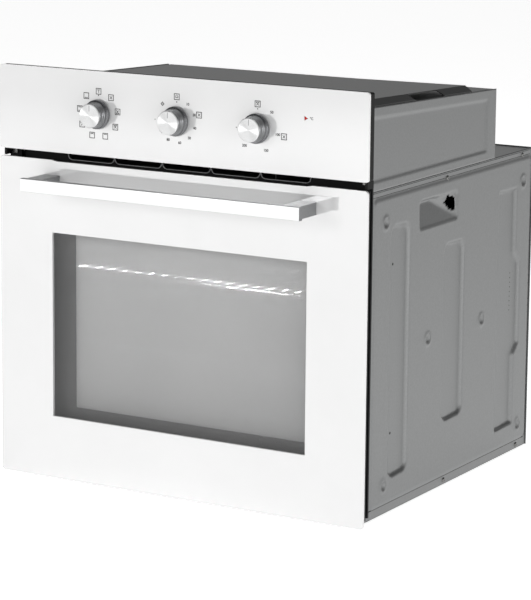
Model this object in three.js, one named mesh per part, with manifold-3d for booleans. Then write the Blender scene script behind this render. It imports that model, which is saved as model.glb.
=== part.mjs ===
// Built-in wall oven: a galvanised casing, an enamelled cavity, a drop-down glass door and a glass
// control panel with three knobs. Millimetres, +X to the right, +Y to the rear, +Z up.
// Inside the assembly, y = 0 is the front face of the glass and z = 0 the underside of the base.
import * as THREE from "three";
import { mergeVertices } from "three/addons/utils/BufferGeometryUtils.js";
import Module from "manifold-3d";

const wasm = await Module();
wasm.setup();

// ---- driving dimensions ----------------------------------------------------------------------

// Front
const FRONT_WIDTH = 595;
const OVERALL_HEIGHT = 595;
const PANEL_HEIGHT = 119;
const VENT_GAP = 11.2; // between the door and the control panel
const DOOR_RISE = 3; // of the door's lower edge above the base
const GLASS = 4;
const PANEL_DEPTH = 15.5;
const DOOR_DEPTH = 40;
const DOOR_EDGE_DEPTH = 8; // black edge profile behind the outer glass
const FLANGE_FACE = 20; // front face of the flange that meets the cabinet
const FLANGE_WIDTH = 586;

// Casing
const BODY_WIDTH = 560;
const BODY_DEPTH = 554;
const BODY_HEIGHT = 455;
const BASE_FRONT = 46;
const SHEET = 1.2;
const UPPER_REAR = 421; // rear of the upper compartment
const UPPER_FRONT_HEIGHT = 571.5;
const UPPER_REAR_HEIGHT = 556.3;

// Cavity
const CAVITY_WIDTH = 446;
const CAVITY_HEIGHT = 330;
const CAVITY_FLOOR = 80;
const CAVITY_FRONT = 46.3;
const CAVITY_REAR = 450;
const CAVITY_WALL = 1.5;
const CAVITY_CORNER = 14;
const CAVITY_RIM = 18; // turned out round the cavity's mouth
const INSULATION = 25;

// Racks
const LEVEL_COUNT = 5;
const LEVEL_PITCH = 50.5;
const FIRST_LEVEL = 90; // centre of the lowest support wire
const RACK_LEVEL = 4;
const TRAY_LEVEL = 2;
const RACK_FRONT = 60;
const RACK_REAR = 413;
const RACK_WIRE_PITCH = 22;
const TRAY_DEPTH = 32;

// Door
const PIVOT_DEPTH = 12;
const PIVOT_HEIGHT = 16;
const COLUMN_INNER = 243;
const COLUMN_OUTER = 272;
const HINGE_CENTRE = 258;
const HANDLE_LENGTH = 448;
const HANDLE_STANDOFF = 54;
const HANDLE_HEIGHT = 18.6;
const HANDLE_CENTRE = 434.8;
const HANDLE_BAR = 9;
const POST_WIDTH = 26;

// Controls
const KNOB_PITCH = 128;
const KNOB_RADIUS = 16.6;
const KNOB_PROTRUSION = 24;
const BEZEL_RADIUS = 21;
const SHAFT_RADIUS = 3;

// Fans
const FAN_RADIUS = 76;
const FAN_SHAFT = 4;
const BLOWER_RADIUS = 30;
const BLOWER_LENGTH = 250;
const BLOWER_DEPTH = 322;
const BLOWER_HEIGHT = 508;

// Clearances
const FIT = 0.3; // between pieces that touch
const RUN = 0.5; // round a shaft or a pin
const SWING = 1.2; // round the door as it opens

// ---- values worked out from them -------------------------------------------------------------

const HALF_FRONT = FRONT_WIDTH / 2;
const HALF_BODY = BODY_WIDTH / 2;
const HALF_FLANGE = FLANGE_WIDTH / 2;
const PANEL_BOTTOM = OVERALL_HEIGHT - PANEL_HEIGHT;
const DOOR_TOP = PANEL_BOTTOM - VENT_GAP;
const KNOB_HEIGHT = PANEL_BOTTOM + PANEL_HEIGHT / 2;
const CAVITY_TOP = CAVITY_FLOOR + CAVITY_HEIGHT;
const FAN_HEIGHT = CAVITY_FLOOR + CAVITY_HEIGHT / 2;
const HALF_CAVITY = CAVITY_WIDTH / 2;
const RECESS_SIDE = COLUMN_OUTER + SWING;
const RECESS_BACK = CAVITY_FRONT - FIT;
const INNER_TOP = DOOR_TOP - 9;
const INNER_BOTTOM = PIVOT_HEIGHT + 4;
const HEAD_TOP = INNER_TOP + 3; // top of the frame's recess for the door
const COLUMN_BOTTOM = PIVOT_HEIGHT - 2; // lower end of the frame's sides and the door's edge profiles
const GUIDE_WIRE = 2;
const GUIDE_POST = 2.5;
const GUIDE_POST_X = HALF_CAVITY - GUIDE_POST - 2.5;
const GUIDE_WIRE_X = GUIDE_POST_X - 3.5;
const RACK_BAR = 3;
const HALF_RACK = GUIDE_POST_X - GUIDE_POST - 1;
const ORIGIN_DEPTH = (BASE_FRONT + BODY_DEPTH) / 2;
const CASING_FRONT = FLANGE_FACE + 2 * SHEET;
const OPEN_EDGE = PIVOT_DEPTH + PIVOT_HEIGHT - DOOR_RISE; // how far back the glass's lower edge swings
const TOP_SHEET = BODY_HEIGHT - SHEET - FIT; // upper face of the body's top sheet

const levelHeight = (level) => FIRST_LEVEL + level * LEVEL_PITCH;

// ---- materials -------------------------------------------------------------------------------

function finish(color, roughness, metalness) {
  return () => new THREE.MeshStandardMaterial({ color, roughness, metalness });
}

const galvanised = finish(0x8a8a8a, 0.45, 0.9);
const whiteGlass = finish(0xf2f2f2, 0.08, 0);
const clearGlass = finish(0xa8b0b0, 0.05, 0);
const darkPaint = finish(0x45474a, 0.5, 0.3);
const blackPlastic = finish(0x141414, 0.5, 0);
const greyEnamel = finish(0x8c8f92, 0.25, 0.1);
const aluminium = finish(0xd8d8d8, 0.35, 0.9);
const steel = finish(0x9da0a3, 0.35, 0.95);
const chrome = finish(0xd5d8da, 0.12, 1);
const greyPlastic = finish(0x6c6f72, 0.5, 0);
const whiteWool = finish(0xd9d4c4, 0.95, 0);
const silicone = finish(0x2b2b2b, 0.8, 0);
const redLens = finish(0xc8281e, 0.2, 0);
const ceramic = finish(0xe4e0d6, 0.6, 0);

// ---- solids ----------------------------------------------------------------------------------

const X_AXIS = new THREE.Vector3(1, 0, 0);
const Y_AXIS = new THREE.Vector3(0, 1, 0);
const Z_AXIS = new THREE.Vector3(0, 0, 1);

function solidOf(geometry) {
  const bare = new THREE.BufferGeometry();
  const flat = geometry.index ? geometry.toNonIndexed() : geometry;
  bare.setAttribute("position", flat.getAttribute("position"));
  const merged = mergeVertices(bare, 1e-4);
  return new wasm.Manifold(
    new wasm.Mesh({
      numProp: 3,
      vertProperties: merged.getAttribute("position").array,
      triVerts: new Uint32Array(merged.index.array),
    }),
  );
}

function geometryOf(solid) {
  const { vertProperties, triVerts } = solid.getMesh();
  const indexed = new THREE.BufferGeometry();
  indexed.setAttribute("position", new THREE.BufferAttribute(vertProperties, 3));
  indexed.setIndex(new THREE.BufferAttribute(triVerts, 1));
  const faceted = indexed.toNonIndexed();
  faceted.computeVertexNormals();
  return faceted;
}

const join = (...solids) => solids.reduce((whole, piece) => whole.add(piece));
const cut = (solid, ...tools) => tools.reduce((left, tool) => left.subtract(tool), solid);

// A block between two limits on each axis.
function block([x0, x1], [y0, y1], [z0, z1]) {
  const geometry = new THREE.BoxGeometry(x1 - x0, y1 - y0, z1 - z0);
  geometry.translate((x0 + x1) / 2, (y0 + y1) / 2, (z0 + z1) / 2);
  return solidOf(geometry);
}

// A round rod between two points.
function rod(radius, from, to, sides = 12) {
  const start = new THREE.Vector3(...from);
  const run = new THREE.Vector3(...to).sub(start);
  const geometry = new THREE.CylinderGeometry(radius, radius, run.length(), sides);
  const turn = new THREE.Quaternion().setFromUnitVectors(Y_AXIS, run.clone().normalize());
  geometry.applyQuaternion(turn);
  geometry.translate(...start.addScaledVector(run, 0.5).toArray());
  return solidOf(geometry);
}

// A shape drawn in x and z, pushed along y.
function panel(shape, y0, y1, curveSegments = 2) {
  const geometry = new THREE.ExtrudeGeometry(shape, { depth: y1 - y0, bevelEnabled: false, curveSegments });
  geometry.rotateX(Math.PI / 2).translate(0, y1, 0);
  return solidOf(geometry);
}

// A shape drawn in y and z, pushed along x.
function profile(shape, x0, x1, curveSegments = 2) {
  const geometry = new THREE.ExtrudeGeometry(shape, { depth: x1 - x0, bevelEnabled: false, curveSegments });
  geometry.applyMatrix4(new THREE.Matrix4().makeBasis(Y_AXIS, Z_AXIS, X_AXIS)).translate(x0, 0, 0);
  return solidOf(geometry);
}

// A profile of radius and depth, turned about a line along y through (x, z).
function turned(points, x, z, sides = 24) {
  const outline = points.map(([radius, y]) => new THREE.Vector2(radius, y));
  return solidOf(new THREE.LatheGeometry(outline, sides).translate(x, 0, z));
}

// A path through a list of points, with one step to each whatever their spacing.
class WirePath extends THREE.Curve {
  constructor(points) {
    super();
    this.points = points;
  }

  getPoint(t) {
    const place = t * (this.points.length - 1);
    const i = Math.min(Math.floor(place), this.points.length - 2);
    return this.points[i].clone().lerp(this.points[i + 1], place - i);
  }

  getUtoTmapping(u) {
    return u;
  }
}

// A round bar bent along a list of points.
function bentBar(points, radius, sides = 6) {
  const section = polygon(regularOutline(0, 0, radius, sides));
  const options = { steps: points.length - 1, extrudePath: new WirePath(points), bevelEnabled: false };
  return solidOf(new THREE.ExtrudeGeometry(section, options));
}

// Corner points, with each corner between the first and the last rounded off.
function roundedCorners(corners, bend, count = 3) {
  const towards = (from, to) => to.clone().sub(from).setLength(bend).add(from);
  const inside = corners.slice(1, -1).flatMap((corner, i) => {
    const ends = [towards(corner, corners[i]), towards(corner, corners[i + 2])];
    return new THREE.QuadraticBezierCurve3(ends[0], corner, ends[1]).getPoints(count);
  });
  return [corners[0], ...inside, corners.at(-1)];
}

// A shape drawn in x and y, pushed along z.
function slab(shape, z0, z1, curveSegments = 2) {
  const geometry = new THREE.ExtrudeGeometry(shape, { depth: z1 - z0, bevelEnabled: false, curveSegments });
  return solidOf(geometry.translate(0, 0, z0));
}

function polygon(points) {
  return new THREE.Shape(points.map(([a, b]) => new THREE.Vector2(a, b)));
}

function roundedRectangle([a0, a1], [b0, b1], radius) {
  const shape = new THREE.Shape();
  shape.moveTo(a0 + radius, b0);
  shape.lineTo(a1 - radius, b0);
  shape.absarc(a1 - radius, b0 + radius, radius, -Math.PI / 2, 0);
  shape.lineTo(a1, b1 - radius);
  shape.absarc(a1 - radius, b1 - radius, radius, 0, Math.PI / 2);
  shape.lineTo(a0 + radius, b1);
  shape.absarc(a0 + radius, b1 - radius, radius, Math.PI / 2, Math.PI);
  shape.lineTo(a0, b0 + radius);
  shape.absarc(a0 + radius, b0 + radius, radius, Math.PI, 1.5 * Math.PI);
  return shape;
}

const mirrored = (solid) => solid.mirror([1, 0, 0]);

// ---- scene -----------------------------------------------------------------------------------

const oven = new THREE.Group();
const assembly = new THREE.Group();
assembly.position.y = -ORIGIN_DEPTH;
oven.add(assembly);

function place(name, solid, material) {
  const mesh = new THREE.Mesh(geometryOf(solid), material());
  mesh.name = name;
  assembly.add(mesh);
}

function placePair(name, rightSolid, material) {
  place(name + "_right", rightSolid, material);
  place(name + "_left", mirrored(rightSolid), material);
}

// ---- pressed sheet ---------------------------------------------------------------------------

const PRESS_DEPTH = 4;
const PRESS_RUN = 6; // width of a pressing's sloping edge
const DIMPLE_RADIUS = 9;

// An outline of corners, each cut back to two points by a size, if it has one.
function chamferedOutline(corners, size) {
  if (!size) return corners;
  return corners.flatMap(([a, b], i) => {
    const before = corners[(i + corners.length - 1) % corners.length];
    const after = corners[(i + 1) % corners.length];
    return [before, after].map(([otherA, otherB]) => {
      const length = Math.hypot(otherA - a, otherB - b);
      return [a + ((otherA - a) * size) / length, b + ((otherB - b) * size) / length];
    });
  });
}

// A solid between one outline at x = top and a second, with as many points, at x = top - depth.
function pressing(outer, inner, top, depth) {
  const rings = [outer, inner].map((ring) => ring.map(([y, z]) => new THREE.Vector2(y, z)));
  const position = [];
  const corner = (ring, i) => {
    const point = rings[ring][(i + outer.length) % outer.length];
    return [top - ring * depth, point.x, point.y];
  };
  outer.forEach((_, i) => {
    position.push(...corner(0, i), ...corner(1, i), ...corner(1, i + 1));
    position.push(...corner(0, i), ...corner(1, i + 1), ...corner(0, i + 1));
  });
  for (const [a, b, c] of THREE.ShapeUtils.triangulateShape(rings[0], [])) {
    position.push(...corner(0, a), ...corner(0, b), ...corner(0, c));
  }
  for (const [a, b, c] of THREE.ShapeUtils.triangulateShape(rings[1], [])) {
    position.push(...corner(1, a), ...corner(1, c), ...corner(1, b));
  }
  const geometry = new THREE.BufferGeometry();
  geometry.setAttribute("position", new THREE.Float32BufferAttribute(position, 3));
  return solidOf(geometry);
}

// Each corner moved along both of its edges, inwards for a positive distance.
function insetCorners(corners, distance) {
  return corners.map((corner, i) => {
    const point = new THREE.Vector2(...corner);
    const before = new THREE.Vector2(...corners[(i + corners.length - 1) % corners.length]);
    const after = new THREE.Vector2(...corners[(i + 1) % corners.length]);
    const along = point.clone().sub(before).normalize();
    const away = after.clone().sub(point).normalize();
    const normals = [along, away].map((edge) => new THREE.Vector2(-edge.y, edge.x));
    const middle = normals[0].add(normals[1]);
    const shift = middle.multiplyScalar(distance / (0.5 * middle.lengthSq()));
    return [point.x + shift.x, point.y + shift.y];
  });
}

// The recess and the boss behind it, for one pressing with sloping edges.
function pressTools(corners, rounding, top) {
  const shape = (distance) => chamferedOutline(insetCorners(corners, distance), rounding);
  const half = SHEET / 2;
  const boss = pressing(shape(-half), shape(PRESS_RUN - half), top - half, PRESS_DEPTH + half);
  const recess = pressing(shape(0), shape(PRESS_RUN), top + SHEET / 10, PRESS_DEPTH + SHEET / 10 - SHEET);
  return { boss, recess };
}

const rectangle = ([y0, y1], [z0, z1]) => [
  [y0, z0],
  [y1, z0],
  [y1, z1],
  [y0, z1],
];

function regularOutline(y, z, radius, count) {
  return Array.from({ length: count }, (_, i) => {
    const angle = ((i + 0.5) * 2 * Math.PI) / count;
    return [y + radius * Math.cos(angle), z + radius * Math.sin(angle)];
  });
}

// ---- casing ----------------------------------------------------------------------------------

const BASE_LIP = 15;
const SIDE_FLANGE = 10; // bent in along the top of each side panel
const GRIP = { y: [187, 303], z: [383, 423], slotY: [262, 299], slotZ: [397, 418], depth: 15 };
const RIBS = [
  { y: [102, 158], z: [48, 402] },
  { y: [264, 328], z: [94, 353] },
];
const REAR_RIB = { y: [441, 502], z: [42, 402], jog: 16, jogZ: [164, 289] };
const DIMPLES = [
  [86, 408],
  [520.5, 408],
  [388, 222],
  [217, 224],
  [89, 41],
  [519.5, 38],
];

function rearRibCorners() {
  const { y, z, jog, jogZ } = REAR_RIB;
  return [
    [y[0], z[0]],
    [y[1], z[0]],
    [y[1], jogZ[0] - jog],
    [y[1] + jog, jogZ[0]],
    [y[1] + jog, jogZ[1]],
    [y[1], jogZ[1] + jog],
    [y[1], z[1]],
    [y[0], z[1]],
  ];
}

function sidePanel() {
  const face = HALF_BODY;
  const front = CASING_FRONT;
  const rear = BODY_DEPTH - SHEET - FIT;
  const sheet = block([face - SHEET, face], [front, rear], [0, BODY_HEIGHT]);
  const flangeLevels = [BODY_HEIGHT - SHEET, BODY_HEIGHT];
  const topFlange = block([face - SIDE_FLANGE, face], [front + 30, rear - 8], flangeLevels);
  const presses = [
    ...RIBS.map(({ y, z }) => pressTools(rectangle(y, z), 14, face)),
    pressTools(rearRibCorners(), 8, face),
    ...DIMPLES.map(([y, z]) => pressTools(regularOutline(y, z, DIMPLE_RADIUS + 1, 8), 0, face)),
  ];
  const grip = rectangle(GRIP.y, GRIP.z);
  const gripInner = [
    [GRIP.y[0] + 30, GRIP.z[1] - 16],
    [GRIP.y[1] - 3, GRIP.z[0] + 12],
    [GRIP.y[1] - 3, GRIP.z[1] - 3],
    [GRIP.y[0] + 34, GRIP.z[1] - 3],
  ];
  const gripBoss = pressing(
    chamferedOutline(insetCorners(grip, -SHEET), 5),
    chamferedOutline(insetCorners(gripInner, -SHEET), 4),
    face - SHEET / 2,
    GRIP.depth + SHEET / 2,
  );
  const gripRecess = pressing(
    chamferedOutline(grip, 5),
    chamferedOutline(gripInner, 4),
    face + SHEET / 10,
    GRIP.depth + SHEET / 10 - SHEET,
  );
  const gripSlot = block([face - 2 * GRIP.depth, face], GRIP.slotY, GRIP.slotZ);
  const swingY = [front - 1, OPEN_EDGE + SWING];
  const swing = block([face - 2 * SHEET, face + 1], swingY, [-1, COLUMN_BOTTOM - SWING]);
  const solid = join(sheet, topFlange, gripBoss, ...presses.map(({ boss }) => boss));
  return cut(solid, swing, gripRecess, gripSlot, ...presses.map(({ recess }) => recess));
}

function basePanel() {
  const half = HALF_BODY - SHEET - FIT;
  const rear = BODY_DEPTH - SHEET - FIT;
  const floor = block([-half, half], [BASE_FRONT, rear], [0, SHEET]);
  const lips = [
    block([half - SHEET, half], [BASE_FRONT + 6, rear], [0, BASE_LIP]),
    block([-half, -half + SHEET], [BASE_FRONT + 6, rear], [0, BASE_LIP]),
    block([-half, half], [rear - SHEET, rear], [0, BASE_LIP]),
  ];
  return join(floor, ...lips);
}

const SLOT_COUNT = 9;
const SLOT_PITCH = 22;
const SLOT_ROWS = [70, 380];
const SLOT = { halfWidth: 3, halfHeight: 14 };

function rearPanel() {
  const sheet = block([-HALF_BODY, HALF_BODY], [BODY_DEPTH - SHEET, BODY_DEPTH], [0, BODY_HEIGHT]);
  const slots = [];
  for (const z of SLOT_ROWS) {
    for (let i = 0; i < SLOT_COUNT; i += 1) {
      const x = (i - (SLOT_COUNT - 1) / 2) * SLOT_PITCH;
      const across = [x - SLOT.halfWidth, x + SLOT.halfWidth];
      slots.push(block(across, [BODY_DEPTH - 3, BODY_DEPTH + 1], [z - SLOT.halfHeight, z + SLOT.halfHeight]));
    }
  }
  return cut(sheet, ...slots);
}

const TERMINAL = { x: [-232, -168], y: [452, 502], height: 30 };

function bodyTop() {
  const half = HALF_BODY - SHEET - FIT;
  const levels = [TOP_SHEET - SHEET, TOP_SHEET];
  const sheet = block([-half, half], [CAVITY_FRONT + 6, BODY_DEPTH - SHEET - FIT], levels);
  const middle = [(TERMINAL.x[0] + TERMINAL.x[1]) / 2, (TERMINAL.y[0] + TERMINAL.y[1]) / 2];
  const cable = rod(6, [...middle, levels[0] - 1], [...middle, levels[1] + 1]);
  return cut(sheet, cable);
}

const upperSlope = Math.atan((UPPER_FRONT_HEIGHT - UPPER_REAR_HEIGHT) / UPPER_REAR);
const upperHeight = (y) => UPPER_FRONT_HEIGHT - y * Math.tan(upperSlope);

function upperSide() {
  const front = CASING_FRONT;
  const outline = polygon([
    [front, BODY_HEIGHT + FIT],
    [UPPER_REAR, BODY_HEIGHT + FIT],
    [UPPER_REAR, upperHeight(UPPER_REAR)],
    [front, upperHeight(front)],
  ]);
  const field = [
    [front + 8, 466],
    [UPPER_REAR - 27, 466],
    [UPPER_REAR - 27, upperHeight(UPPER_REAR) - 13],
    [front + 8, upperHeight(front) - 13],
  ];
  const { boss, recess } = pressTools(field, 8, HALF_BODY);
  return cut(join(profile(outline, HALF_BODY - SHEET, HALF_BODY), boss), recess);
}

function upperCover() {
  const front = CASING_FRONT;
  const half = HALF_BODY - SHEET - FIT - PRESS_DEPTH;
  const foot = BODY_HEIGHT + FIT;
  const drop = SHEET + 0.6;
  const section = polygon([
    [UPPER_REAR, foot],
    [UPPER_REAR, upperHeight(UPPER_REAR) - drop + SHEET],
    [front, upperHeight(front) - drop + SHEET],
    [front, upperHeight(front) - drop],
    [UPPER_REAR - SHEET, upperHeight(UPPER_REAR) - drop],
    [UPPER_REAR - SHEET, foot],
  ]);
  return profile(section, -half, half);
}

const COVER = {
  left: -215,
  right: 265,
  flange: 14,
  rise: 8.5,
  rearLeft: 294,
  rearRight: 349,
  notch: [168, 256],
};

// The raised plate over the cooling duct: bent down along both sides, cut askew at the rear.
function ductCover() {
  const front = PANEL_DEPTH + 9;
  const { left, right, flange, rise } = COVER;
  const lower = rise - SHEET - FIT;
  const section = polygon([
    [left - flange, -lower],
    [left, 0],
    [right, 0],
    [right + flange, -lower],
    [right + flange, -lower - SHEET],
    [right, -SHEET],
    [left, -SHEET],
    [left - flange, -lower - SHEET],
  ]);
  const plate = panel(section, 0, COVER.rearRight + flange)
    .rotate([(-upperSlope * 180) / Math.PI, 0, 0])
    .translate([0, front, upperHeight(front) + rise]);
  const plan = polygon([
    [left - 2 * flange, front - 5],
    [right + 2 * flange, front - 5],
    [right + 2 * flange, COVER.rearRight - flange],
    [right, COVER.rearRight],
    [left, COVER.rearLeft],
    [left - 2 * flange, COVER.rearLeft - 2 * flange],
  ]);
  const column = slab(plan, 0, OVERALL_HEIGHT);
  const notch = block([right + 1, right + 2 * flange], COVER.notch, [BODY_HEIGHT, OVERALL_HEIGHT]);
  return cut(plate.intersect(column), notch);
}

function frontFrame() {
  const plate = [FLANGE_FACE, FLANGE_FACE + SHEET * 1.5];
  const side = (sign) => {
    const at = (a, b) => (sign > 0 ? [a, b] : [-b, -a]);
    const height = [COLUMN_BOTTOM, PANEL_BOTTOM - 1];
    const flange = block(at(RECESS_SIDE, HALF_FLANGE), plate, height);
    const hem = block(at(HALF_BODY + RUN, HALF_FLANGE), [FLANGE_FACE, FLANGE_FACE + 3 * SHEET], height);
    const wallX = at(RECESS_SIDE, RECESS_SIDE + SHEET);
    return join(flange, hem, block(wallX, [FLANGE_FACE, RECESS_BACK], [COLUMN_BOTTOM, HEAD_TOP]));
  };
  const receptacle = (sign) => {
    const x = sign * HINGE_CENTRE;
    const body = block([x - 6.5, x + 6.5], [RECESS_BACK - SHEET, RECESS_BACK + 32], [8, INNER_BOTTOM + 32]);
    return cut(body, block([x - 3.6, x + 3.6], [RECESS_BACK - 5, RECESS_BACK + 28], [7, INNER_BOTTOM + 20]));
  };
  const back = block(
    [-RECESS_SIDE - SHEET, RECESS_SIDE + SHEET],
    [RECESS_BACK - SHEET, RECESS_BACK],
    [INNER_BOTTOM + 25, HEAD_TOP],
  );
  const head = block(
    [-RECESS_SIDE - SHEET, RECESS_SIDE + SHEET],
    [FLANGE_FACE, RECESS_BACK],
    [INNER_TOP + SWING, HEAD_TOP],
  );
  const mouth = panel(
    roundedRectangle([-HALF_CAVITY + 1, HALF_CAVITY - 1], [CAVITY_FLOOR + 1, CAVITY_TOP - 1], CAVITY_CORNER),
    RECESS_BACK - 5,
    RECESS_BACK + 5,
  );
  return cut(join(side(1), side(-1), back, head, receptacle(1), receptacle(-1)), mouth);
}

const VENT_SLOTS = 5;
const VENT_PITCH = 79;
const VENT_SLOT_WIDTH = 73;

// The strip of air outlets between the door and the control panel.
function ventGrille() {
  const z = [HEAD_TOP + FIT, PANEL_BOTTOM + 12];
  const y = [FLANGE_FACE + 6, FLANGE_FACE + 8];
  const strip = block([-RECESS_SIDE, RECESS_SIDE], y, z);
  const slots = Array.from({ length: VENT_SLOTS }, (_, i) => {
    const x = (i - (VENT_SLOTS - 1) / 2) * VENT_PITCH;
    const limits = [x - VENT_SLOT_WIDTH / 2, x + VENT_SLOT_WIDTH / 2];
    return panel(roundedRectangle(limits, [z[0] + 4, z[1] - 5], 5), y[0] - 1, y[1] + 1);
  });
  return cut(strip, ...slots);
}

function addCasing() {
  place("base_panel", basePanel(), galvanised);
  placePair("side_panel", sidePanel(), galvanised);
  place("rear_panel", rearPanel(), galvanised);
  place("body_top_panel", bodyTop(), galvanised);
  placePair("upper_side", upperSide(), galvanised);
  place("upper_cover", upperCover(), galvanised);
  place("air_duct_cover", ductCover(), galvanised);
  place("front_frame", frontFrame(), darkPaint);
  place("vent_grille", ventGrille(), blackPlastic);
}

// ---- cavity ----------------------------------------------------------------------------------

const LAMP = { x: HALF_CAVITY - 37, z: CAVITY_TOP - 38, radius: 14 };
const MOTOR_HOLE = 46;
const ELEMENT_RADIUS = 3.2;
const GRILL_DROP = 14; // centre of the grill element below the ceiling
const RING_RADIUS = 104;
const TERMINAL_SPREAD = 22;
const RING_END_HEIGHT = FAN_HEIGHT + Math.sqrt(RING_RADIUS ** 2 - TERMINAL_SPREAD ** 2);
const BOTTOM_ROOM = 13; // between the cavity floor and the insulation, for the lower element
const LOWER_ELEMENT_HEIGHT = CAVITY_FLOOR - CAVITY_WALL - BOTTOM_ROOM / 2;

const fanCentre = [0, FAN_HEIGHT];

function rearHoles(y0, y1, clearance) {
  const through = (radius, x, z) => rod(radius + clearance, [x, y0, z], [x, y1, z]);
  return [
    through(FAN_SHAFT, ...fanCentre),
    through(LAMP.radius, LAMP.x, LAMP.z),
    through(ELEMENT_RADIUS, -TERMINAL_SPREAD, CAVITY_TOP - GRILL_DROP),
    through(ELEMENT_RADIUS, TERMINAL_SPREAD, CAVITY_TOP - GRILL_DROP),
    through(ELEMENT_RADIUS, TERMINAL_SPREAD, RING_END_HEIGHT),
    through(ELEMENT_RADIUS, -TERMINAL_SPREAD, RING_END_HEIGHT),
    through(ELEMENT_RADIUS, TERMINAL_SPREAD, LOWER_ELEMENT_HEIGHT),
    through(ELEMENT_RADIUS, -TERMINAL_SPREAD, LOWER_ELEMENT_HEIGHT),
    through(2, -LAMP.x, LAMP.z),
  ];
}

function cavity() {
  const inner = roundedRectangle([-HALF_CAVITY, HALF_CAVITY], [CAVITY_FLOOR, CAVITY_TOP], CAVITY_CORNER);
  const outer = roundedRectangle(
    [-HALF_CAVITY - CAVITY_WALL, HALF_CAVITY + CAVITY_WALL],
    [CAVITY_FLOOR - CAVITY_WALL, CAVITY_TOP + CAVITY_WALL],
    CAVITY_CORNER + CAVITY_WALL,
  );
  const halfRim = HALF_CAVITY + CAVITY_RIM;
  const rim = roundedRectangle([-halfRim, halfRim], [CAVITY_FLOOR - CAVITY_RIM, CAVITY_TOP + CAVITY_RIM], 8);
  const shell = join(
    panel(outer, CAVITY_FRONT, CAVITY_REAR + CAVITY_WALL),
    panel(rim, CAVITY_FRONT, CAVITY_FRONT + CAVITY_WALL),
  );
  const room = panel(inner, CAVITY_FRONT - 5, CAVITY_REAR);
  return cut(shell, room, ...rearHoles(CAVITY_REAR - 5, CAVITY_REAR + 5, RUN));
}

function insulationBlanket() {
  const gap = CAVITY_WALL + FIT;
  const outer = block(
    [-HALF_CAVITY - gap - INSULATION, HALF_CAVITY + gap + INSULATION],
    [CAVITY_FRONT + 3, CAVITY_REAR + gap + INSULATION],
    [CAVITY_FLOOR - gap - BOTTOM_ROOM - INSULATION, CAVITY_TOP + gap + INSULATION],
  );
  const room = block(
    [-HALF_CAVITY - gap, HALF_CAVITY + gap],
    [CAVITY_FRONT, CAVITY_REAR + gap],
    [CAVITY_FLOOR - gap - BOTTOM_ROOM, CAVITY_TOP + gap],
  );
  const backRun = [CAVITY_REAR, CAVITY_REAR + gap + INSULATION + 5];
  const motor = rod(MOTOR_HOLE, [0, backRun[0], FAN_HEIGHT], [0, backRun[1], FAN_HEIGHT], 24);
  return cut(outer, room, motor, ...rearHoles(...backRun, 2));
}

function doorSeal() {
  const around = (grow, radius) => {
    const half = HALF_CAVITY + grow;
    return roundedRectangle([-half, half], [CAVITY_FLOOR - grow, CAVITY_TOP + grow], radius);
  };
  const ring = around(12, 20);
  ring.holes.push(around(3, 16));
  return panel(ring, DOOR_DEPTH + FIT, RECESS_BACK - SHEET - FIT);
}

// A heating rod in one level plane: from a terminal, round its right-hand loops, across to the same
// loops mirrored, and back to the other terminal.
function heatingRod(loops, z, terminalEnd) {
  const right = [[TERMINAL_SPREAD, terminalEnd], ...loops];
  const left = [...right].reverse().map(([x, y]) => [-x, y]);
  const corners = [...right, ...left].map(([x, y]) => new THREE.Vector3(x, y, z));
  return bentBar(roundedCorners(corners, 3 * ELEMENT_RADIUS), ELEMENT_RADIUS);
}

const TERMINAL_END = CAVITY_REAR + INSULATION + 16;

function grillElement() {
  const front = CAVITY_FRONT + 50;
  const loops = [
    [TERMINAL_SPREAD, CAVITY_REAR - 40],
    [HALF_CAVITY - 48, CAVITY_REAR - 40],
    [HALF_CAVITY - 48, front],
    [HALF_CAVITY - 103, front],
    [HALF_CAVITY - 103, CAVITY_REAR - 90],
    [HALF_CAVITY - 158, CAVITY_REAR - 90],
    [HALF_CAVITY - 158, front],
  ];
  return heatingRod(loops, CAVITY_TOP - GRILL_DROP, TERMINAL_END);
}

function bottomElement() {
  const front = CAVITY_FRONT + 60;
  const loops = [
    [TERMINAL_SPREAD, CAVITY_REAR - 60],
    [HALF_CAVITY - 38, CAVITY_REAR - 60],
    [HALF_CAVITY - 38, front],
    [HALF_CAVITY - 128, front],
    [HALF_CAVITY - 128, CAVITY_REAR - 130],
  ];
  return heatingRod(loops, LOWER_ELEMENT_HEIGHT, TERMINAL_END);
}

const BAFFLE = { halfWidth: LAMP.x - LAMP.radius - 22, z: [CAVITY_FLOOR + 25, CAVITY_TOP - 25], depth: 22 };
const BAFFLE_SLOTS = 12;
const FAN_GAP = 5; // between the fan and the rear wall

// A ring round the fan, open at the top, where its two ends turn back through the rear wall.
function ringElement() {
  const opening = Math.asin(TERMINAL_SPREAD / RING_RADIUS);
  const y = CAVITY_REAR - BAFFLE.depth / 2;
  const count = 26;
  const ring = Array.from({ length: count + 1 }, (_, i) => {
    const angle = opening + (i * 2 * (Math.PI - opening)) / count;
    return new THREE.Vector3(RING_RADIUS * Math.sin(angle), y, FAN_HEIGHT + RING_RADIUS * Math.cos(angle));
  });
  const terminals = [ring[0], ring.at(-1)].map(({ x, z }) =>
    rod(ELEMENT_RADIUS, [x, y, z], [x, TERMINAL_END, z], 8),
  );
  return join(bentBar(ring, ELEMENT_RADIUS), ...terminals);
}

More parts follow.
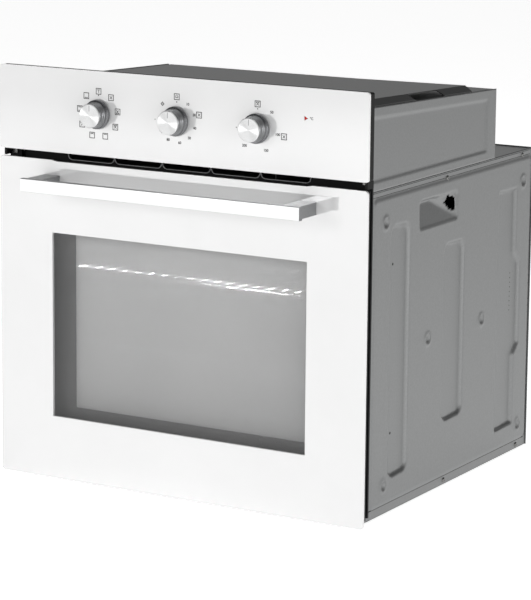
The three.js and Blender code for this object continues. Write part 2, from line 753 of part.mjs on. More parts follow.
// The plate in front of the fan: a middle inlet of slots, and outlets round its turned-back rim.
function fanCover() {
  const { halfWidth, z, depth } = BAFFLE;
  const back = CAVITY_REAR - FIT;
  const front = CAVITY_REAR - depth;
  const wall = CAVITY_WALL;
  const inner = roundedRectangle([-halfWidth + wall, halfWidth - wall], [z[0] + wall, z[1] - wall], 11);
  const outer = roundedRectangle([-halfWidth, halfWidth], z, 12);
  const shell = cut(panel(outer, front, back), panel(inner, front + wall, back + 5));
  const inlets = Array.from({ length: BAFFLE_SLOTS }, (_, i) => {
    const turn = (i * 360) / BAFFLE_SLOTS;
    const slot = block([-2.2, 2.2], [front - 1, front + wall + 1], [18, 50]);
    return slot.rotate([0, turn, 0]).translate([0, 0, FAN_HEIGHT]);
  });
  const outlets = [-100, -60, -20, 20, 60, 100].map((offset) => {
    const middle = FAN_HEIGHT + offset;
    return block([-halfWidth - 1, halfWidth + 1], [front + 6, front + 13], [middle - 14, middle + 14]);
  });
  return cut(shell, ...inlets, ...outlets);
}

const FAN_BLADES = 10;

function convectionFan() {
  const back = CAVITY_REAR - FAN_GAP;
  const disc = rod(FAN_RADIUS, [0, back - SHEET, FAN_HEIGHT], [0, back, FAN_HEIGHT], 32);
  const hub = rod(3 * FAN_SHAFT, [0, back - 12, FAN_HEIGHT], [0, back, FAN_HEIGHT], 16);
  const shaft = rod(FAN_SHAFT, [0, back - 2, FAN_HEIGHT], [0, CAVITY_REAR + 34, FAN_HEIGHT]);
  const blades = Array.from({ length: FAN_BLADES }, (_, i) => {
    const blade = block([-0.6, 0.6], [back - 13, back - SHEET / 2], [FAN_RADIUS - 30, FAN_RADIUS - 1]);
    const tilted = blade.translate([0, 0, -FAN_RADIUS]).rotate([0, 25, 0]).translate([0, 0, FAN_RADIUS]);
    return tilted.rotate([0, (i * 360) / FAN_BLADES, 0]).translate([0, 0, FAN_HEIGHT]);
  });
  return join(disc, hub, shaft, ...blades);
}

function fanMotor() {
  const start = CAVITY_REAR + CAVITY_WALL + 6;
  const body = rod(32, [0, start, FAN_HEIGHT], [0, start + 44, FAN_HEIGHT], 24);
  const cap = rod(14, [0, start + 40, FAN_HEIGHT], [0, start + 54, FAN_HEIGHT], 16);
  const arms = block([-MOTOR_HOLE + 4, MOTOR_HOLE - 4], [start, start + 2], [FAN_HEIGHT - 8, FAN_HEIGHT + 8]);
  const bore = rod(FAN_SHAFT + RUN, [0, start - 1, FAN_HEIGHT], [0, CAVITY_REAR + 34 + RUN, FAN_HEIGHT]);
  return cut(join(body, cap, arms), bore);
}

function ovenLamp() {
  const at = (y) => [LAMP.x, y, LAMP.z];
  const socket = rod(LAMP.radius, at(CAVITY_REAR - 1), at(TERMINAL_END - 8), 20);
  const bulb = rod(8, at(CAVITY_REAR - 10), at(CAVITY_REAR), 12);
  return join(socket, bulb);
}

// A round glass cover, hollow behind, pressed against the rear wall over the lamp.
function lampGlass() {
  const radius = LAMP.radius + 6;
  const back = CAVITY_REAR - FIT;
  const outline = [
    [0, back - 16],
    [radius - 6, back - 14],
    [radius, back - 8],
    [radius, back],
    [radius - 3, back],
    [radius - 3, back - 7],
    [radius - 8, back - 11.5],
    [0, back - 13],
  ];
  return turned(outline, LAMP.x, LAMP.z, 20);
}

function thermostatBulb() {
  const at = (y) => [-LAMP.x, y, LAMP.z];
  return rod(2, at(CAVITY_REAR - 70), at(TERMINAL_END), 8);
}

// ---- racks -----------------------------------------------------------------------------------

const GUIDE_POSTS = [RACK_FRONT + 35, RACK_REAR - 35];

function rackGuide() {
  const bottom = levelHeight(0) - GUIDE_WIRE;
  const top = levelHeight(LEVEL_COUNT - 1) + 36;
  const posts = GUIDE_POSTS.map((y) => rod(GUIDE_POST, [GUIDE_POST_X, y, bottom], [GUIDE_POST_X, y, top], 6));
  const rails = Array.from({ length: LEVEL_COUNT }, (_, level) => {
    const z = levelHeight(level);
    return rod(GUIDE_WIRE, [GUIDE_WIRE_X, RACK_FRONT, z], [GUIDE_WIRE_X, RACK_REAR, z], 6);
  });
  const foot = (y, z) => rod(GUIDE_WIRE, [GUIDE_POST_X, y, z], [HALF_CAVITY - FIT, y, z], 6);
  const feet = GUIDE_POSTS.flatMap((y) => [foot(y, bottom + CAVITY_CORNER), foot(y, top - GUIDE_WIRE)]);
  return join(...posts, ...rails, ...feet);
}

function wireRack() {
  const z = levelHeight(RACK_LEVEL) + GUIDE_WIRE + FIT / 2 + RACK_BAR;
  const side = HALF_RACK - RACK_BAR;
  const ends = [RACK_FRONT + RACK_BAR, RACK_REAR - RACK_BAR];
  const bars = [-side, side].map((x) => rod(RACK_BAR, [x, ends[0], z], [x, ends[1], z], 8));
  const middles = [ends[0], ends[0] / 2 + ends[1] / 2, ends[1]];
  const cross = middles.map((y) => rod(RACK_BAR, [-side - 2, y, z], [side + 2, y, z], 8));
  const wireCount = Math.floor((2 * (side - RACK_BAR)) / RACK_WIRE_PITCH) + 1;
  const wires = Array.from({ length: wireCount }, (_, i) => {
    const x = (i - (wireCount - 1) / 2) * RACK_WIRE_PITCH;
    return rod(1.5, [x, RACK_FRONT, z + RACK_BAR + 1], [x, RACK_REAR, z + RACK_BAR + 1], 4);
  });
  return join(...bars, ...cross, ...wires);
}

function bakingTray() {
  const rest = levelHeight(TRAY_LEVEL) + GUIDE_WIRE + FIT / 2;
  const wallX = GUIDE_WIRE_X - GUIDE_WIRE - 4;
  const inset = HALF_RACK - wallX;
  const ends = [RACK_FRONT + inset, RACK_REAR - inset];
  const rimOutline = roundedRectangle([-HALF_RACK, HALF_RACK], [RACK_FRONT, RACK_REAR], 10);
  const rim = slab(rimOutline, rest, rest + SHEET);
  const pan = slab(roundedRectangle([-wallX, wallX], ends, 16), rest - TRAY_DEPTH, rest + SHEET);
  const room = slab(
    roundedRectangle([-wallX + SHEET, wallX - SHEET], [ends[0] + SHEET, ends[1] - SHEET], 15),
    rest - TRAY_DEPTH + SHEET,
    rest + 5,
  );
  return cut(join(rim, pan), room);
}

function addCavity() {
  place("oven_cavity", cavity(), greyEnamel);
  place("insulation_blanket", insulationBlanket(), whiteWool);
  place("door_seal", doorSeal(), silicone);
  place("grill_element", grillElement(), steel);
  place("bottom_element", bottomElement(), steel);
  place("ring_element", ringElement(), steel);
  place("fan_cover", fanCover(), greyEnamel);
  place("convection_fan", convectionFan(), steel);
  place("fan_motor", fanMotor(), galvanised);
  place("oven_lamp", ovenLamp(), ceramic);
  place("lamp_glass", lampGlass(), clearGlass);
  place("thermostat_bulb", thermostatBulb(), steel);
  placePair("rack_guide", rackGuide(), chrome);
  place("wire_rack", wireRack(), chrome);
  place("baking_tray", bakingTray(), greyEnamel);
}

// ---- cooling blower --------------------------------------------------------------------------

const BLOWER_WALL = 8; // between the rotor and its housing
const BLOWER_BLADES = 12;
const DUCT_HEIGHT = 21;

const onBlowerAxis = (x) => [x, BLOWER_DEPTH, BLOWER_HEIGHT];

function blowerHousing() {
  const half = BLOWER_LENGTH / 2 + 6;
  const floor = TOP_SHEET + FIT;
  const drum = (inset) => {
    const ends = [-half + inset, half - inset].map(onBlowerAxis);
    return rod(BLOWER_RADIUS + BLOWER_WALL - inset, ...ends, 20);
  };
  const duct = (inset, front) =>
    block([-half + inset, half - inset], [front, BLOWER_DEPTH], [floor + inset, floor + DUCT_HEIGHT - inset]);
  const inletY = [BLOWER_DEPTH - 22, BLOWER_DEPTH + 22];
  const inlet = block([-half + 12, half - 12], inletY, [BLOWER_HEIGHT + 15, OVERALL_HEIGHT]);
  const shaft = rod(SHAFT_RADIUS + RUN, onBlowerAxis(-half - 1), onBlowerAxis(half + 1));
  const front = RECESS_BACK + RUN;
  return cut(join(drum(0), duct(0, front)), drum(SHEET), duct(SHEET, front - 5), inlet, shaft);
}

function blowerRotor() {
  const half = BLOWER_LENGTH / 2;
  const along = (radius, x0, x1, sides) => rod(radius, onBlowerAxis(x0), onBlowerAxis(x1), sides);
  const discs = [-half, -SHEET / 2, half - SHEET].map((x) => along(BLOWER_RADIUS, x, x + SHEET, 16));
  const blades = Array.from({ length: BLOWER_BLADES }, (_, i) => {
    const radii = [BLOWER_RADIUS - 9, BLOWER_RADIUS - 1];
    const blade = block([-half + SHEET / 2, half - SHEET / 2], [-0.5, 0.5], radii);
    return blade.rotate([(i * 360) / BLOWER_BLADES, 0, 0]).translate(onBlowerAxis(0));
  });
  const shaft = along(SHAFT_RADIUS, -half - 12, half + 32, 10);
  return join(...discs, ...blades, shaft);
}

function blowerMotor() {
  const start = BLOWER_LENGTH / 2 + 10;
  const body = rod(26, onBlowerAxis(start), onBlowerAxis(start + 40), 20);
  const footY = [BLOWER_DEPTH - 20, BLOWER_DEPTH + 20];
  const foot = block([start + 8, start + 30], footY, [TOP_SHEET + FIT, BLOWER_HEIGHT]);
  const bore = rod(SHAFT_RADIUS + RUN, onBlowerAxis(start - 1), onBlowerAxis(start + 26));
  return cut(join(body, foot), bore);
}

function terminalBlock() {
  const { x, y, height } = TERMINAL;
  const floor = TOP_SHEET + FIT;
  const box = block(x, y, [floor, floor + height]);
  const screws = [-20, 0, 20].map((shift) => {
    const middle = (x[0] + x[1]) / 2 + shift;
    return rod(5, [middle, y[0] + 14, floor + height - 8], [middle, y[0] + 14, floor + height + 1], 12);
  });
  const middleX = (x[0] + x[1]) / 2;
  const gland = rod(11, [middleX, y[1] - 2, floor + 14], [middleX, y[1] + 16, floor + 14], 16);
  const cable = rod(5, [middleX, y[1] - 20, floor + 14], [middleX, y[1] + 20, floor + 14], 12);
  return cut(join(box, gland), cable, ...screws);
}

// ---- controls --------------------------------------------------------------------------------

const KNOBS = [
  { name: "function", x: -KNOB_PITCH },
  { name: "timer", x: 0 },
  { name: "thermostat", x: KNOB_PITCH },
];
const KNOB_FLARE = 1.6;
const CAP_THICKNESS = 1.2;
const BEZEL_DEPTH = 1.6;
const COLLAR_RADIUS = BEZEL_RADIUS - 0.6;
const COLLAR_DEPTH = 5;
const SHAFT_HOLE = SHAFT_RADIUS + 2;
const SHAFT_END = PANEL_DEPTH + 12;
const SIGNAL = { x: 202, z: 554.5, side: 5.6 };

function panelOutline(inset, radius) {
  const half = HALF_FRONT - inset;
  return roundedRectangle([-half, half], [PANEL_BOTTOM + inset, OVERALL_HEIGHT - inset], radius);
}

const atKnob = (x, y) => [x, y, KNOB_HEIGHT];

function triangle({ x, z, side }, growth) {
  const radius = side / Math.sqrt(3) + 2 * growth;
  return polygon([0, 120, 240].map((degrees) => {
    const angle = THREE.MathUtils.degToRad(degrees);
    return [x + radius * Math.cos(angle), z + radius * Math.sin(angle)];
  }));
}

const shaftHoles = (y0, y1) => KNOBS.map(({ x }) => rod(SHAFT_HOLE, atKnob(x, y0), atKnob(x, y1), 16));

function controlPanelGlass() {
  const signalHole = panel(triangle(SIGNAL, FIT), -1, GLASS + 1);
  return cut(panel(panelOutline(0, 3), 0, GLASS), signalHole, ...shaftHoles(-1, GLASS + 1));
}

// A tray behind the glass: a back wall with a rim that reaches forward to it.
function panelCarrier() {
  const front = GLASS + FIT;
  const room = panel(panelOutline(3, 2), front - 1, PANEL_DEPTH - 2);
  const tray = cut(panel(panelOutline(0.5, 3), front, PANEL_DEPTH), room);
  const signalHole = panel(triangle(SIGNAL, 3), front, PANEL_DEPTH + 1);
  return cut(tray, signalHole, ...shaftHoles(front, PANEL_DEPTH + 1));
}

function signalLamp() {
  const lens = panel(triangle(SIGNAL, 0), 0, PANEL_DEPTH + 8);
  const socket = rod(7, [SIGNAL.x, PANEL_DEPTH + 4, SIGNAL.z], [SIGNAL.x, PANEL_DEPTH + 20, SIGNAL.z], 16);
  return join(lens, socket);
}

function knobBezel(x) {
  const front = -BEZEL_DEPTH - FIT;
  const ring = [
    [SHAFT_HOLE, -FIT],
    [SHAFT_HOLE, front],
    [BEZEL_RADIUS - 1, front],
    [BEZEL_RADIUS, front + 1],
    [BEZEL_RADIUS, -FIT],
    [SHAFT_HOLE, -FIT],
  ];
  return turned(ring, x, KNOB_HEIGHT);
}

function knobBody(x) {
  const back = -BEZEL_DEPTH - FIT - RUN;
  const seat = -KNOB_PROTRUSION + CAP_THICKNESS + FIT;
  const outline = [
    [0, seat],
    [KNOB_RADIUS - 0.8, seat],
    [KNOB_RADIUS, seat + 0.8],
    [KNOB_RADIUS + KNOB_FLARE, back - COLLAR_DEPTH - 1],
    [COLLAR_RADIUS - 1, back - COLLAR_DEPTH],
    [COLLAR_RADIUS, back - COLLAR_DEPTH + 1],
    [COLLAR_RADIUS, back],
    [SHAFT_RADIUS, back],
    [SHAFT_RADIUS, SHAFT_END],
    [0, SHAFT_END],
  ];
  return turned(outline, x, KNOB_HEIGHT);
}

function knobCap(x) {
  return rod(KNOB_RADIUS, atKnob(x, -KNOB_PROTRUSION), atKnob(x, -KNOB_PROTRUSION + CAP_THICKNESS), 24);
}

// A switch body behind the carrier, with a blind bore for its knob's shaft.
function switchBody(x, body) {
  const start = PANEL_DEPTH + FIT;
  const neck = rod(SHAFT_HOLE + 3, atKnob(x, start), atKnob(x, start + 5), 16);
  const bore = rod(SHAFT_RADIUS + RUN, atKnob(x, start - 1), atKnob(x, SHAFT_END + RUN), 12);
  return cut(join(neck, body), bore);
}

function selectorSwitch(x) {
  const start = PANEL_DEPTH + 4;
  return switchBody(x, rod(22, atKnob(x, start), atKnob(x, start + 34), 24));
}

function timerMechanism(x) {
  const start = PANEL_DEPTH + 4;
  return switchBody(x, block([x - 25, x + 25], [start, start + 40], [KNOB_HEIGHT - 22, KNOB_HEIGHT + 22]));
}

function thermostat(x) {
  const start = PANEL_DEPTH + 4;
  const body = block([x - 19, x + 19], [start, start + 24], [KNOB_HEIGHT - 19, KNOB_HEIGHT + 19]);
  const bellows = rod(13, atKnob(x, start + 20), atKnob(x, start + 33), 20);
  return switchBody(x, join(body, bellows));
}

function addControls() {
  place("control_panel_glass", controlPanelGlass(), whiteGlass);
  place("panel_carrier", panelCarrier(), blackPlastic);
  place("signal_lamp", signalLamp(), redLens);
  for (const { name, x } of KNOBS) {
    place(name + "_bezel", knobBezel(x), greyPlastic);
    place(name + "_knob", knobBody(x), greyPlastic);
    place(name + "_knob_cap", knobCap(x), aluminium);
  }
  const [first, middle, last] = KNOBS.map(({ x }) => x);
  place("selector_switch", selectorSwitch(first), ceramic);
  place("timer_mechanism", timerMechanism(middle), greyPlastic);
  place("thermostat", thermostat(last), steel);
  place("blower_housing", blowerHousing(), galvanised);
  place("blower_rotor", blowerRotor(), aluminium);
  place("blower_motor", blowerMotor(), steel);
  place("terminal_block", terminalBlock(), blackPlastic);
}

// ---- door ------------------------------------------------------------------------------------

const TRIM_HEIGHT = 16;
const PANE_Z = [INNER_BOTTOM + TRIM_HEIGHT + FIT, INNER_TOP - TRIM_HEIGHT - FIT];
const HALF_PANE = COLUMN_INNER - FIT;
const CHANNEL_HALF = 9;
const CHANNEL_TOP = 242;
const CHANNEL_BACK = 34;
const CHANNEL_WALL = 1.5;
const ARM_HALF = 3;
const HUB_RADIUS = 5;
const PIN_RADIUS = 2.5;

const doorBack = GLASS + FIT;

function outerGlass() {
  return panel(roundedRectangle([-HALF_FRONT, HALF_FRONT], [DOOR_RISE, DOOR_TOP], 5), 0, GLASS);
}

const pane = (y) => block([-HALF_PANE, HALF_PANE], [y, y + GLASS], PANE_Z);

// The right-hand side column, with a pocket for the hinge and a thin edge behind the outer glass.
function doorColumn() {
  const body = block([COLUMN_INNER, COLUMN_OUTER], [doorBack, DOOR_DEPTH], [INNER_BOTTOM, INNER_TOP]);
  const edgeX = [COLUMN_OUTER - 5, HALF_FRONT - 0.5];
  const edge = block(edgeX, [doorBack, DOOR_EDGE_DEPTH], [COLUMN_BOTTOM, DOOR_TOP - 1]);
  const pocketX = [HINGE_CENTRE - CHANNEL_HALF - FIT, HINGE_CENTRE + CHANNEL_HALF + FIT];
  const pocket = block(pocketX, [0, CHANNEL_BACK + FIT], [0, CHANNEL_TOP + FIT]);
  const swing = block(pocketX, [0, DOOR_DEPTH + 1], [0, INNER_BOTTOM + 40]);
  return cut(join(body, edge), pocket, swing);
}

function doorTrim(z0) {
  const half = COLUMN_INNER - FIT;
  const bar = block([-half, half], [doorBack, DOOR_DEPTH], [z0, z0 + TRIM_HEIGHT]);
  const groove = block([-half + 6, half - 6], [doorBack + 5, DOOR_DEPTH - 5], [z0 - 1, z0 + TRIM_HEIGHT - 3]);
  return cut(bar, groove);
}

function doorHandle() {
  const z = [HANDLE_CENTRE - HANDLE_HEIGHT / 2, HANDLE_CENTRE + HANDLE_HEIGHT / 2];
  const half = HANDLE_LENGTH / 2;
  const section = roundedRectangle([-HANDLE_STANDOFF, -HANDLE_STANDOFF + HANDLE_BAR], z, 1.2);
  const bar = profile(section, -half, half);
  const posts = [-half + 4, half - 4 - POST_WIDTH].map((x) =>
    block([x, x + POST_WIDTH], [-HANDLE_STANDOFF + HANDLE_BAR / 2, -FIT], [z[0] + 0.6, z[1] - 0.6]),
  );
  return join(bar, ...posts);
}

// A channel open at the back and the bottom, with the pin that the arm turns on.
function hingeChannel() {
  const x = [HINGE_CENTRE - CHANNEL_HALF, HINGE_CENTRE + CHANNEL_HALF];
  const front = doorBack + 0.7;
  const body = block(x, [front, CHANNEL_BACK], [PIVOT_HEIGHT - 8, CHANNEL_TOP]);
  const room = block(
    [x[0] + CHANNEL_WALL, x[1] - CHANNEL_WALL],
    [front + CHANNEL_WALL, CHANNEL_BACK + 1],
    [0, CHANNEL_TOP - CHANNEL_WALL],
  );
  const across = (radius, y, z, sides) => rod(radius, [x[0] + 0.2, y, z], [x[1] - 0.2, y, z], sides);
  const pin = across(PIN_RADIUS, PIVOT_DEPTH, PIVOT_HEIGHT, 16);
  return join(cut(body, room), pin, across(1.5, SPRING_DEPTH, SPRING_TOP + 6, 10));
}

const SPRING_DEPTH = 20;
const SPRING_TOP = 214;
const SPRING_RADIUS = 4.4;
const SPRING_WIRE = 0.9;
const SPRING_TURNS = 9;
const SPRING_PITCH = 8;

// A tension spring with a straight leg at each end, on the axis of its coils.
function hingeSpring() {
  const stepsPerTurn = 7;
  const coil = Array.from({ length: SPRING_TURNS * stepsPerTurn + 1 }, (_, i) => {
    const angle = (i * 2 * Math.PI) / stepsPerTurn;
    const z = SPRING_TOP - (i * SPRING_PITCH) / stepsPerTurn;
    const x = HINGE_CENTRE + SPRING_RADIUS * Math.cos(angle);
    return new THREE.Vector3(x, SPRING_DEPTH + SPRING_RADIUS * Math.sin(angle), z);
  });
  const axis = (z) => new THREE.Vector3(HINGE_CENTRE, SPRING_DEPTH, z);
  const bottom = coil.at(-1).z;
  const topLeg = [axis(SPRING_TOP + 3.5), axis(SPRING_TOP + 2)];
  const bottomLeg = [axis(bottom - 4), axis(PIVOT_HEIGHT + 16)];
  return bentBar([...topLeg, ...coil, ...bottomLeg], SPRING_WIRE, 4);
}

// The arm that turns on the channel's pin and hooks into the receptacle of the front frame.
function hingeArm() {
  const x = [HINGE_CENTRE - ARM_HALF, HINGE_CENTRE + ARM_HALF];
  const onPivot = (along) => [along, PIVOT_DEPTH, PIVOT_HEIGHT];
  const hub = rod(HUB_RADIUS, onPivot(x[0]), onPivot(x[1]), 20);
  const end = RECESS_BACK + 26;
  const bar = block(x, [PIVOT_DEPTH, end], [PIVOT_HEIGHT - HUB_RADIUS, PIVOT_HEIGHT + HUB_RADIUS]);
  const hook = block(x, [end - 14, end], [PIVOT_HEIGHT, PIVOT_HEIGHT + 20]);
  const bore = rod(PIN_RADIUS + RUN, onPivot(x[0] - 1), onPivot(x[1] + 1), 16);
  return cut(join(hub, bar, hook), bore);
}

function addDoor() {
  place("door_outer_glass", outerGlass(), whiteGlass);
  place("door_middle_glass", pane(DOOR_DEPTH / 2), clearGlass);
  place("door_inner_glass", pane(DOOR_DEPTH - GLASS), clearGlass);
  placePair("door_column", doorColumn(), blackPlastic);
  place("door_bottom_trim", doorTrim(INNER_BOTTOM), blackPlastic);
  place("door_top_trim", doorTrim(INNER_TOP - TRIM_HEIGHT), blackPlastic);
  place("door_handle", doorHandle(), aluminium);
  placePair("hinge_channel", hingeChannel(), steel);
  placePair("hinge_spring", hingeSpring(), steel);
  placePair("hinge_arm", hingeArm(), steel);
}

addCasing();
addCavity();
addControls();
addDoor();

export default oven;
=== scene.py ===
"""Looks of a built-in wall oven: white glass front, spun-aluminium knobs, galvanised casing."""

import math

import bmesh
import bpy
from mathutils import Matrix, Vector


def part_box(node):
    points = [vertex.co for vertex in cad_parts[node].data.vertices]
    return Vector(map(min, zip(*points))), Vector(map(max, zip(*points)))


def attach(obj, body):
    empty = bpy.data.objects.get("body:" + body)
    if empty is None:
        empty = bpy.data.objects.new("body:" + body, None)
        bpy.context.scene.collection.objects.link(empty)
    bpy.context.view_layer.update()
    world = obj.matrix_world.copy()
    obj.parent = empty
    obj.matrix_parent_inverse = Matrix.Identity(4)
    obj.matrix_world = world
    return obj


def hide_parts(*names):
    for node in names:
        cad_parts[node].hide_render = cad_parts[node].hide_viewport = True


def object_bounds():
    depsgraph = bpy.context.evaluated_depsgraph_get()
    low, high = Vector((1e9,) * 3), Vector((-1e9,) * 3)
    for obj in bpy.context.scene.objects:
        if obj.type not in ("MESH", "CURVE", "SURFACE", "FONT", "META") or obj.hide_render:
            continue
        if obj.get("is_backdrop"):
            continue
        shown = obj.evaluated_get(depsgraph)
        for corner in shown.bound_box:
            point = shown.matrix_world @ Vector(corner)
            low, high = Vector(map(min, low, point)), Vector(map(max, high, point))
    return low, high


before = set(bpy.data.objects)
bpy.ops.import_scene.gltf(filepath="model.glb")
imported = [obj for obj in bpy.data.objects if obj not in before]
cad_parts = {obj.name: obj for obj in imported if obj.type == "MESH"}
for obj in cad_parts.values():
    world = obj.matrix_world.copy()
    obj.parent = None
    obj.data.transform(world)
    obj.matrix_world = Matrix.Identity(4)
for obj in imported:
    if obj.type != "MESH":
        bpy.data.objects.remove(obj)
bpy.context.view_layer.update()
MM = 0.001

# ---- finishes ---------------------------------------------------------------------------------


def linear(hex_colour):
    """An sRGB hex colour as linear red, green, blue and alpha."""
    channels = [int(hex_colour[i : i + 2], 16) / 255 for i in (1, 3, 5)]
    return [c / 12.92 if c <= 0.04045 else ((c + 0.055) / 1.055) ** 2.4 for c in channels] + [1.0]


def add(tree, kind, settings=None, links=None):
    """Adds one shader node. Capitalised settings are sockets, and the others are the node's own."""
    node = tree.nodes.new("ShaderNode" + kind)
    for name, value in (settings or {}).items():
        if name == "stops":
            ramp = node.color_ramp.elements
            for element, (place, colour) in zip((ramp[0], ramp[1]), (value[0], value[-1])):
                element.position, element.color = place, linear(colour)
            for place, colour in value[1:-1]:
                ramp.new(place).color = linear(colour)
        elif name[0].isupper():
            node.inputs[name].default_value = value
        else:
            setattr(node, name, value)
    for socket, source in (links or {}).items():
        tree.links.new(source, node.inputs[socket])
    return node


def finish(
    name,
    stops,
    grain,
    roughness,
    relief=0.0,
    stretch=(1, 1, 1),
    kind="TexNoise",
    pattern=None,
    **sockets,
):
    """A material whose colour, roughness and relief follow one pattern.

    grain is the pattern's size in millimetres, stretch its proportions, and relief its height
    in millimetres.
    """
    made = bpy.data.materials.new(name)
    made.use_nodes = True
    tree = made.node_tree
    surface = tree.nodes["Principled BSDF"]
    for socket, value in sockets.items():
        surface.inputs[socket.replace("_", " ")].default_value = value
    place = add(tree, "TexCoord")
    scale = [1000 / (grain * s) for s in stretch]
    sized = add(tree, "Mapping", {"Scale": scale}, {"Vector": place.outputs["Object"]})
    drawn = {"Scale": 1.0, "Detail": 3.0, **(pattern or {})}
    grains = add(tree, kind, drawn, {"Vector": sized.outputs["Vector"]})
    height = grains.outputs["Fac"] if "Fac" in grains.outputs else grains.outputs["Distance"]
    tone = add(tree, "ValToRGB", {"stops": stops}, {"Fac": height})
    tree.links.new(tone.outputs["Color"], surface.inputs["Base Color"])
    limits = {"To Min": roughness[0], "To Max": roughness[1]}
    sheen = add(tree, "MapRange", limits, {"Value": height})
    tree.links.new(sheen.outputs["Result"], surface.inputs["Roughness"])
    if relief:
        bump = add(tree, "Bump", {"Distance": relief * MM}, {"Height": height})
        tree.links.new(bump.outputs["Normal"], surface.inputs["Normal"])
    return made


# Toughened float glass printed white on its back, under a hard reflecting coat: an even white with
# a mirror in it, and a faint roller wave a hand's width long.
white_glass = finish(
    "back_printed_white_glass",
    [(0.3, "#e9e9e9"), (0.7, "#ececec")],
    90,
    (0.02, 0.04),
    relief=0.02,
    IOR=2.3,
    Coat_Weight=1.0,
    Coat_IOR=2.0,
    Coat_Roughness=0.03,
)
# Clear toughened glass, almost colourless, so that only a little of it shows as a veil.
clear_glass = finish(
    "clear_toughened_glass",
    [(0.3, "#c1c2c2"), (0.7, "#cccccc")],
    120,
    (0.02, 0.04),
    IOR=1.52,
    Alpha=0.07,
)
# Glass veiled in pale grey, partly opaque over what lies behind: a painted reflection, standing in
# for what the glass throws back.
reflection_veiled_glass = finish(
    "glass_painted_reflection_veil",
    [(0.25, "#e2e2e2"), (0.75, "#eaeaea")],
    160,
    (0.06, 0.12),
    IOR=1.52,
    Alpha=0.62,
)
# Ceramic ink fired on the inner pane: dark grey and half gloss.
dark_print = finish(
    "fired_grey_print",
    [(0.3, "#3c3c3c"), (0.7, "#444444")],
    6,
    (0.3, 0.4),
    IOR=1.5,
)
# Black screen-printed ink, matt, a little uneven.
black_ink = finish(
    "screen_printed_ink",
    [(0.3, "#141414"), (0.7, "#1c1c1c")],
    1.5,
    (0.5, 0.7),
    IOR=1.5,
)
# Hot-dip galvanised sheet, skin-passed: a fine cloudy spangle that the eye sees as soft grey grain.
galvanised = finish(
    "galvanised_sheet",
    [(0.3, "#888989"), (0.5, "#8c8d8d"), (0.7, "#909191")],
    3,
    (0.4, 0.48),
    relief=0.0015,
    pattern={"Detail": 4.0, "Roughness": 0.6},
    Metallic=1.0,
)
# The same sheet, made darker, on the plates over the cooling duct and the upper compartment:
# painted shade for the dark overhead that these tops reflect.
shaded_galvanised = finish(
    "galvanised_painted_shade",
    [(0.3, "#434444"), (0.7, "#494a4a")],
    3,
    (0.38, 0.46),
    relief=0.0015,
    pattern={"Detail": 4.0, "Roughness": 0.6},
    Metallic=1.0,
)
# Satin dark grey powder coat: a fine orange peel, about 1 mm across.
frame_coat = finish(
    "dark_powder_coat",
    [(0.3, "#0f1011"), (0.7, "#151617")],
    1.2,
    (0.5, 0.62),
    relief=0.02,
    IOR=1.4,
    Specular_IOR_Level=0.2,
)
# Black glass-filled polyamide: satin, with a fine moulded grain.
black_plastic = finish(
    "moulded_black_polyamide",
    [(0.3, "#070707"), (0.7, "#0d0d0d")],
    0.9,
    (0.5, 0.62),
    relief=0.02,
    IOR=1.53,
    Specular_IOR_Level=0.2,
)
# Vitreous enamel on steel: grey glass with pale specks half a millimetre across, drawn coarser.
enamel = finish(
    "speckled_vitreous_enamel",
    [(0.0, "#66686b"), (0.62, "#6e7073"), (0.72, "#aeb0b3")],
    2.4,
    (0.12, 0.25),
    relief=0.03,
    pattern={"Detail": 1.0},
    IOR=1.5,
)
# Extruded aluminium, brushed along its length and anodised: long hair lines about 0.5 mm apart.
brushed_aluminium = finish(
    "brushed_anodised_aluminium",
    [(0.25, "#e6e7e7"), (0.75, "#f5f5f5")],
    1.0,
    (0.24, 0.42),
    relief=0.01,
    stretch=(160, 1.2, 0.6),
    Metallic=1.0,
)
# A darker, satin copy of the same aluminium, on the handle's faces that do not look to the front:
# painted shade.
shaded_aluminium = finish(
    "aluminium_painted_shade",
    [(0.3, "#8c8d8e"), (0.7, "#969798")],
    1.5,
    (0.3, 0.4),
    relief=0.005,
    Metallic=1.0,
)
# ABS, moulded and painted in a metallic grey: a soft sheen with a very fine grain.
knob_plastic = finish(
    "metallic_grey_abs",
    [(0.3, "#8b8c8e"), (0.7, "#959698")],
    0.6,
    (0.26, 0.36),
    relief=0.008,
    IOR=1.54,
    Metallic=0.7,
)
# The same ABS in a darker, smoother metallic grey, on the knob's rear and collar; where it lines
# the grooves and the ring just behind the disc's rim, the darker grey is painted shade.
collar_grey_and_groove_shade = finish(
    "darker_grey_abs_groove_shade",
    [(0.3, "#757678"), (0.7, "#808183")],
    0.6,
    (0.22, 0.32),
    relief=0.008,
    IOR=1.54,
    Metallic=0.8,
)
# ABS left as moulded, pale grey and satin, of the base rings and the air outlets' lips.
ring_plastic = finish(
    "pale_grey_abs",
    [(0.3, "#b9babb"), (0.7, "#c5c6c7")],
    0.8,
    (0.35, 0.45),
    relief=0.008,
    IOR=1.54,
)
# Cold-rolled steel of the hinges and motors: mill-grey, slightly streaked.
steel = finish(
    "rolled_steel",
    [(0.3, "#85878a"), (0.7, "#9a9c9f")],
    4,
    (0.28, 0.42),
    relief=0.01,
    stretch=(1, 1, 6),
    Metallic=1.0,
)
# Zinc-plated steel: mid grey and fairly glossy, a touch yellower where the plating is thin.
zinc = finish(
    "zinc_plated_screw",
    [(0.3, "#6c6c6a"), (0.7, "#838382")],
    1.0,
    (0.2, 0.3),
    Metallic=1.0,
)
# Chrome-plated wire: near-white and almost a mirror, so it shows as thin bright lines.
chrome = finish(
    "chromed_wire",
    [(0.3, "#e8e9ea"), (0.7, "#f2f3f3")],
    8,
    (0.08, 0.12),
    Metallic=1.0,
)
# Aluminised steel of the tray: pale, with soft grey bloom.
aluminised = finish(
    "aluminised_steel",
    [(0.3, "#a2a3a4"), (0.7, "#b0b1b2")],
    6,
    (0.35, 0.5),
    Metallic=0.6,
)
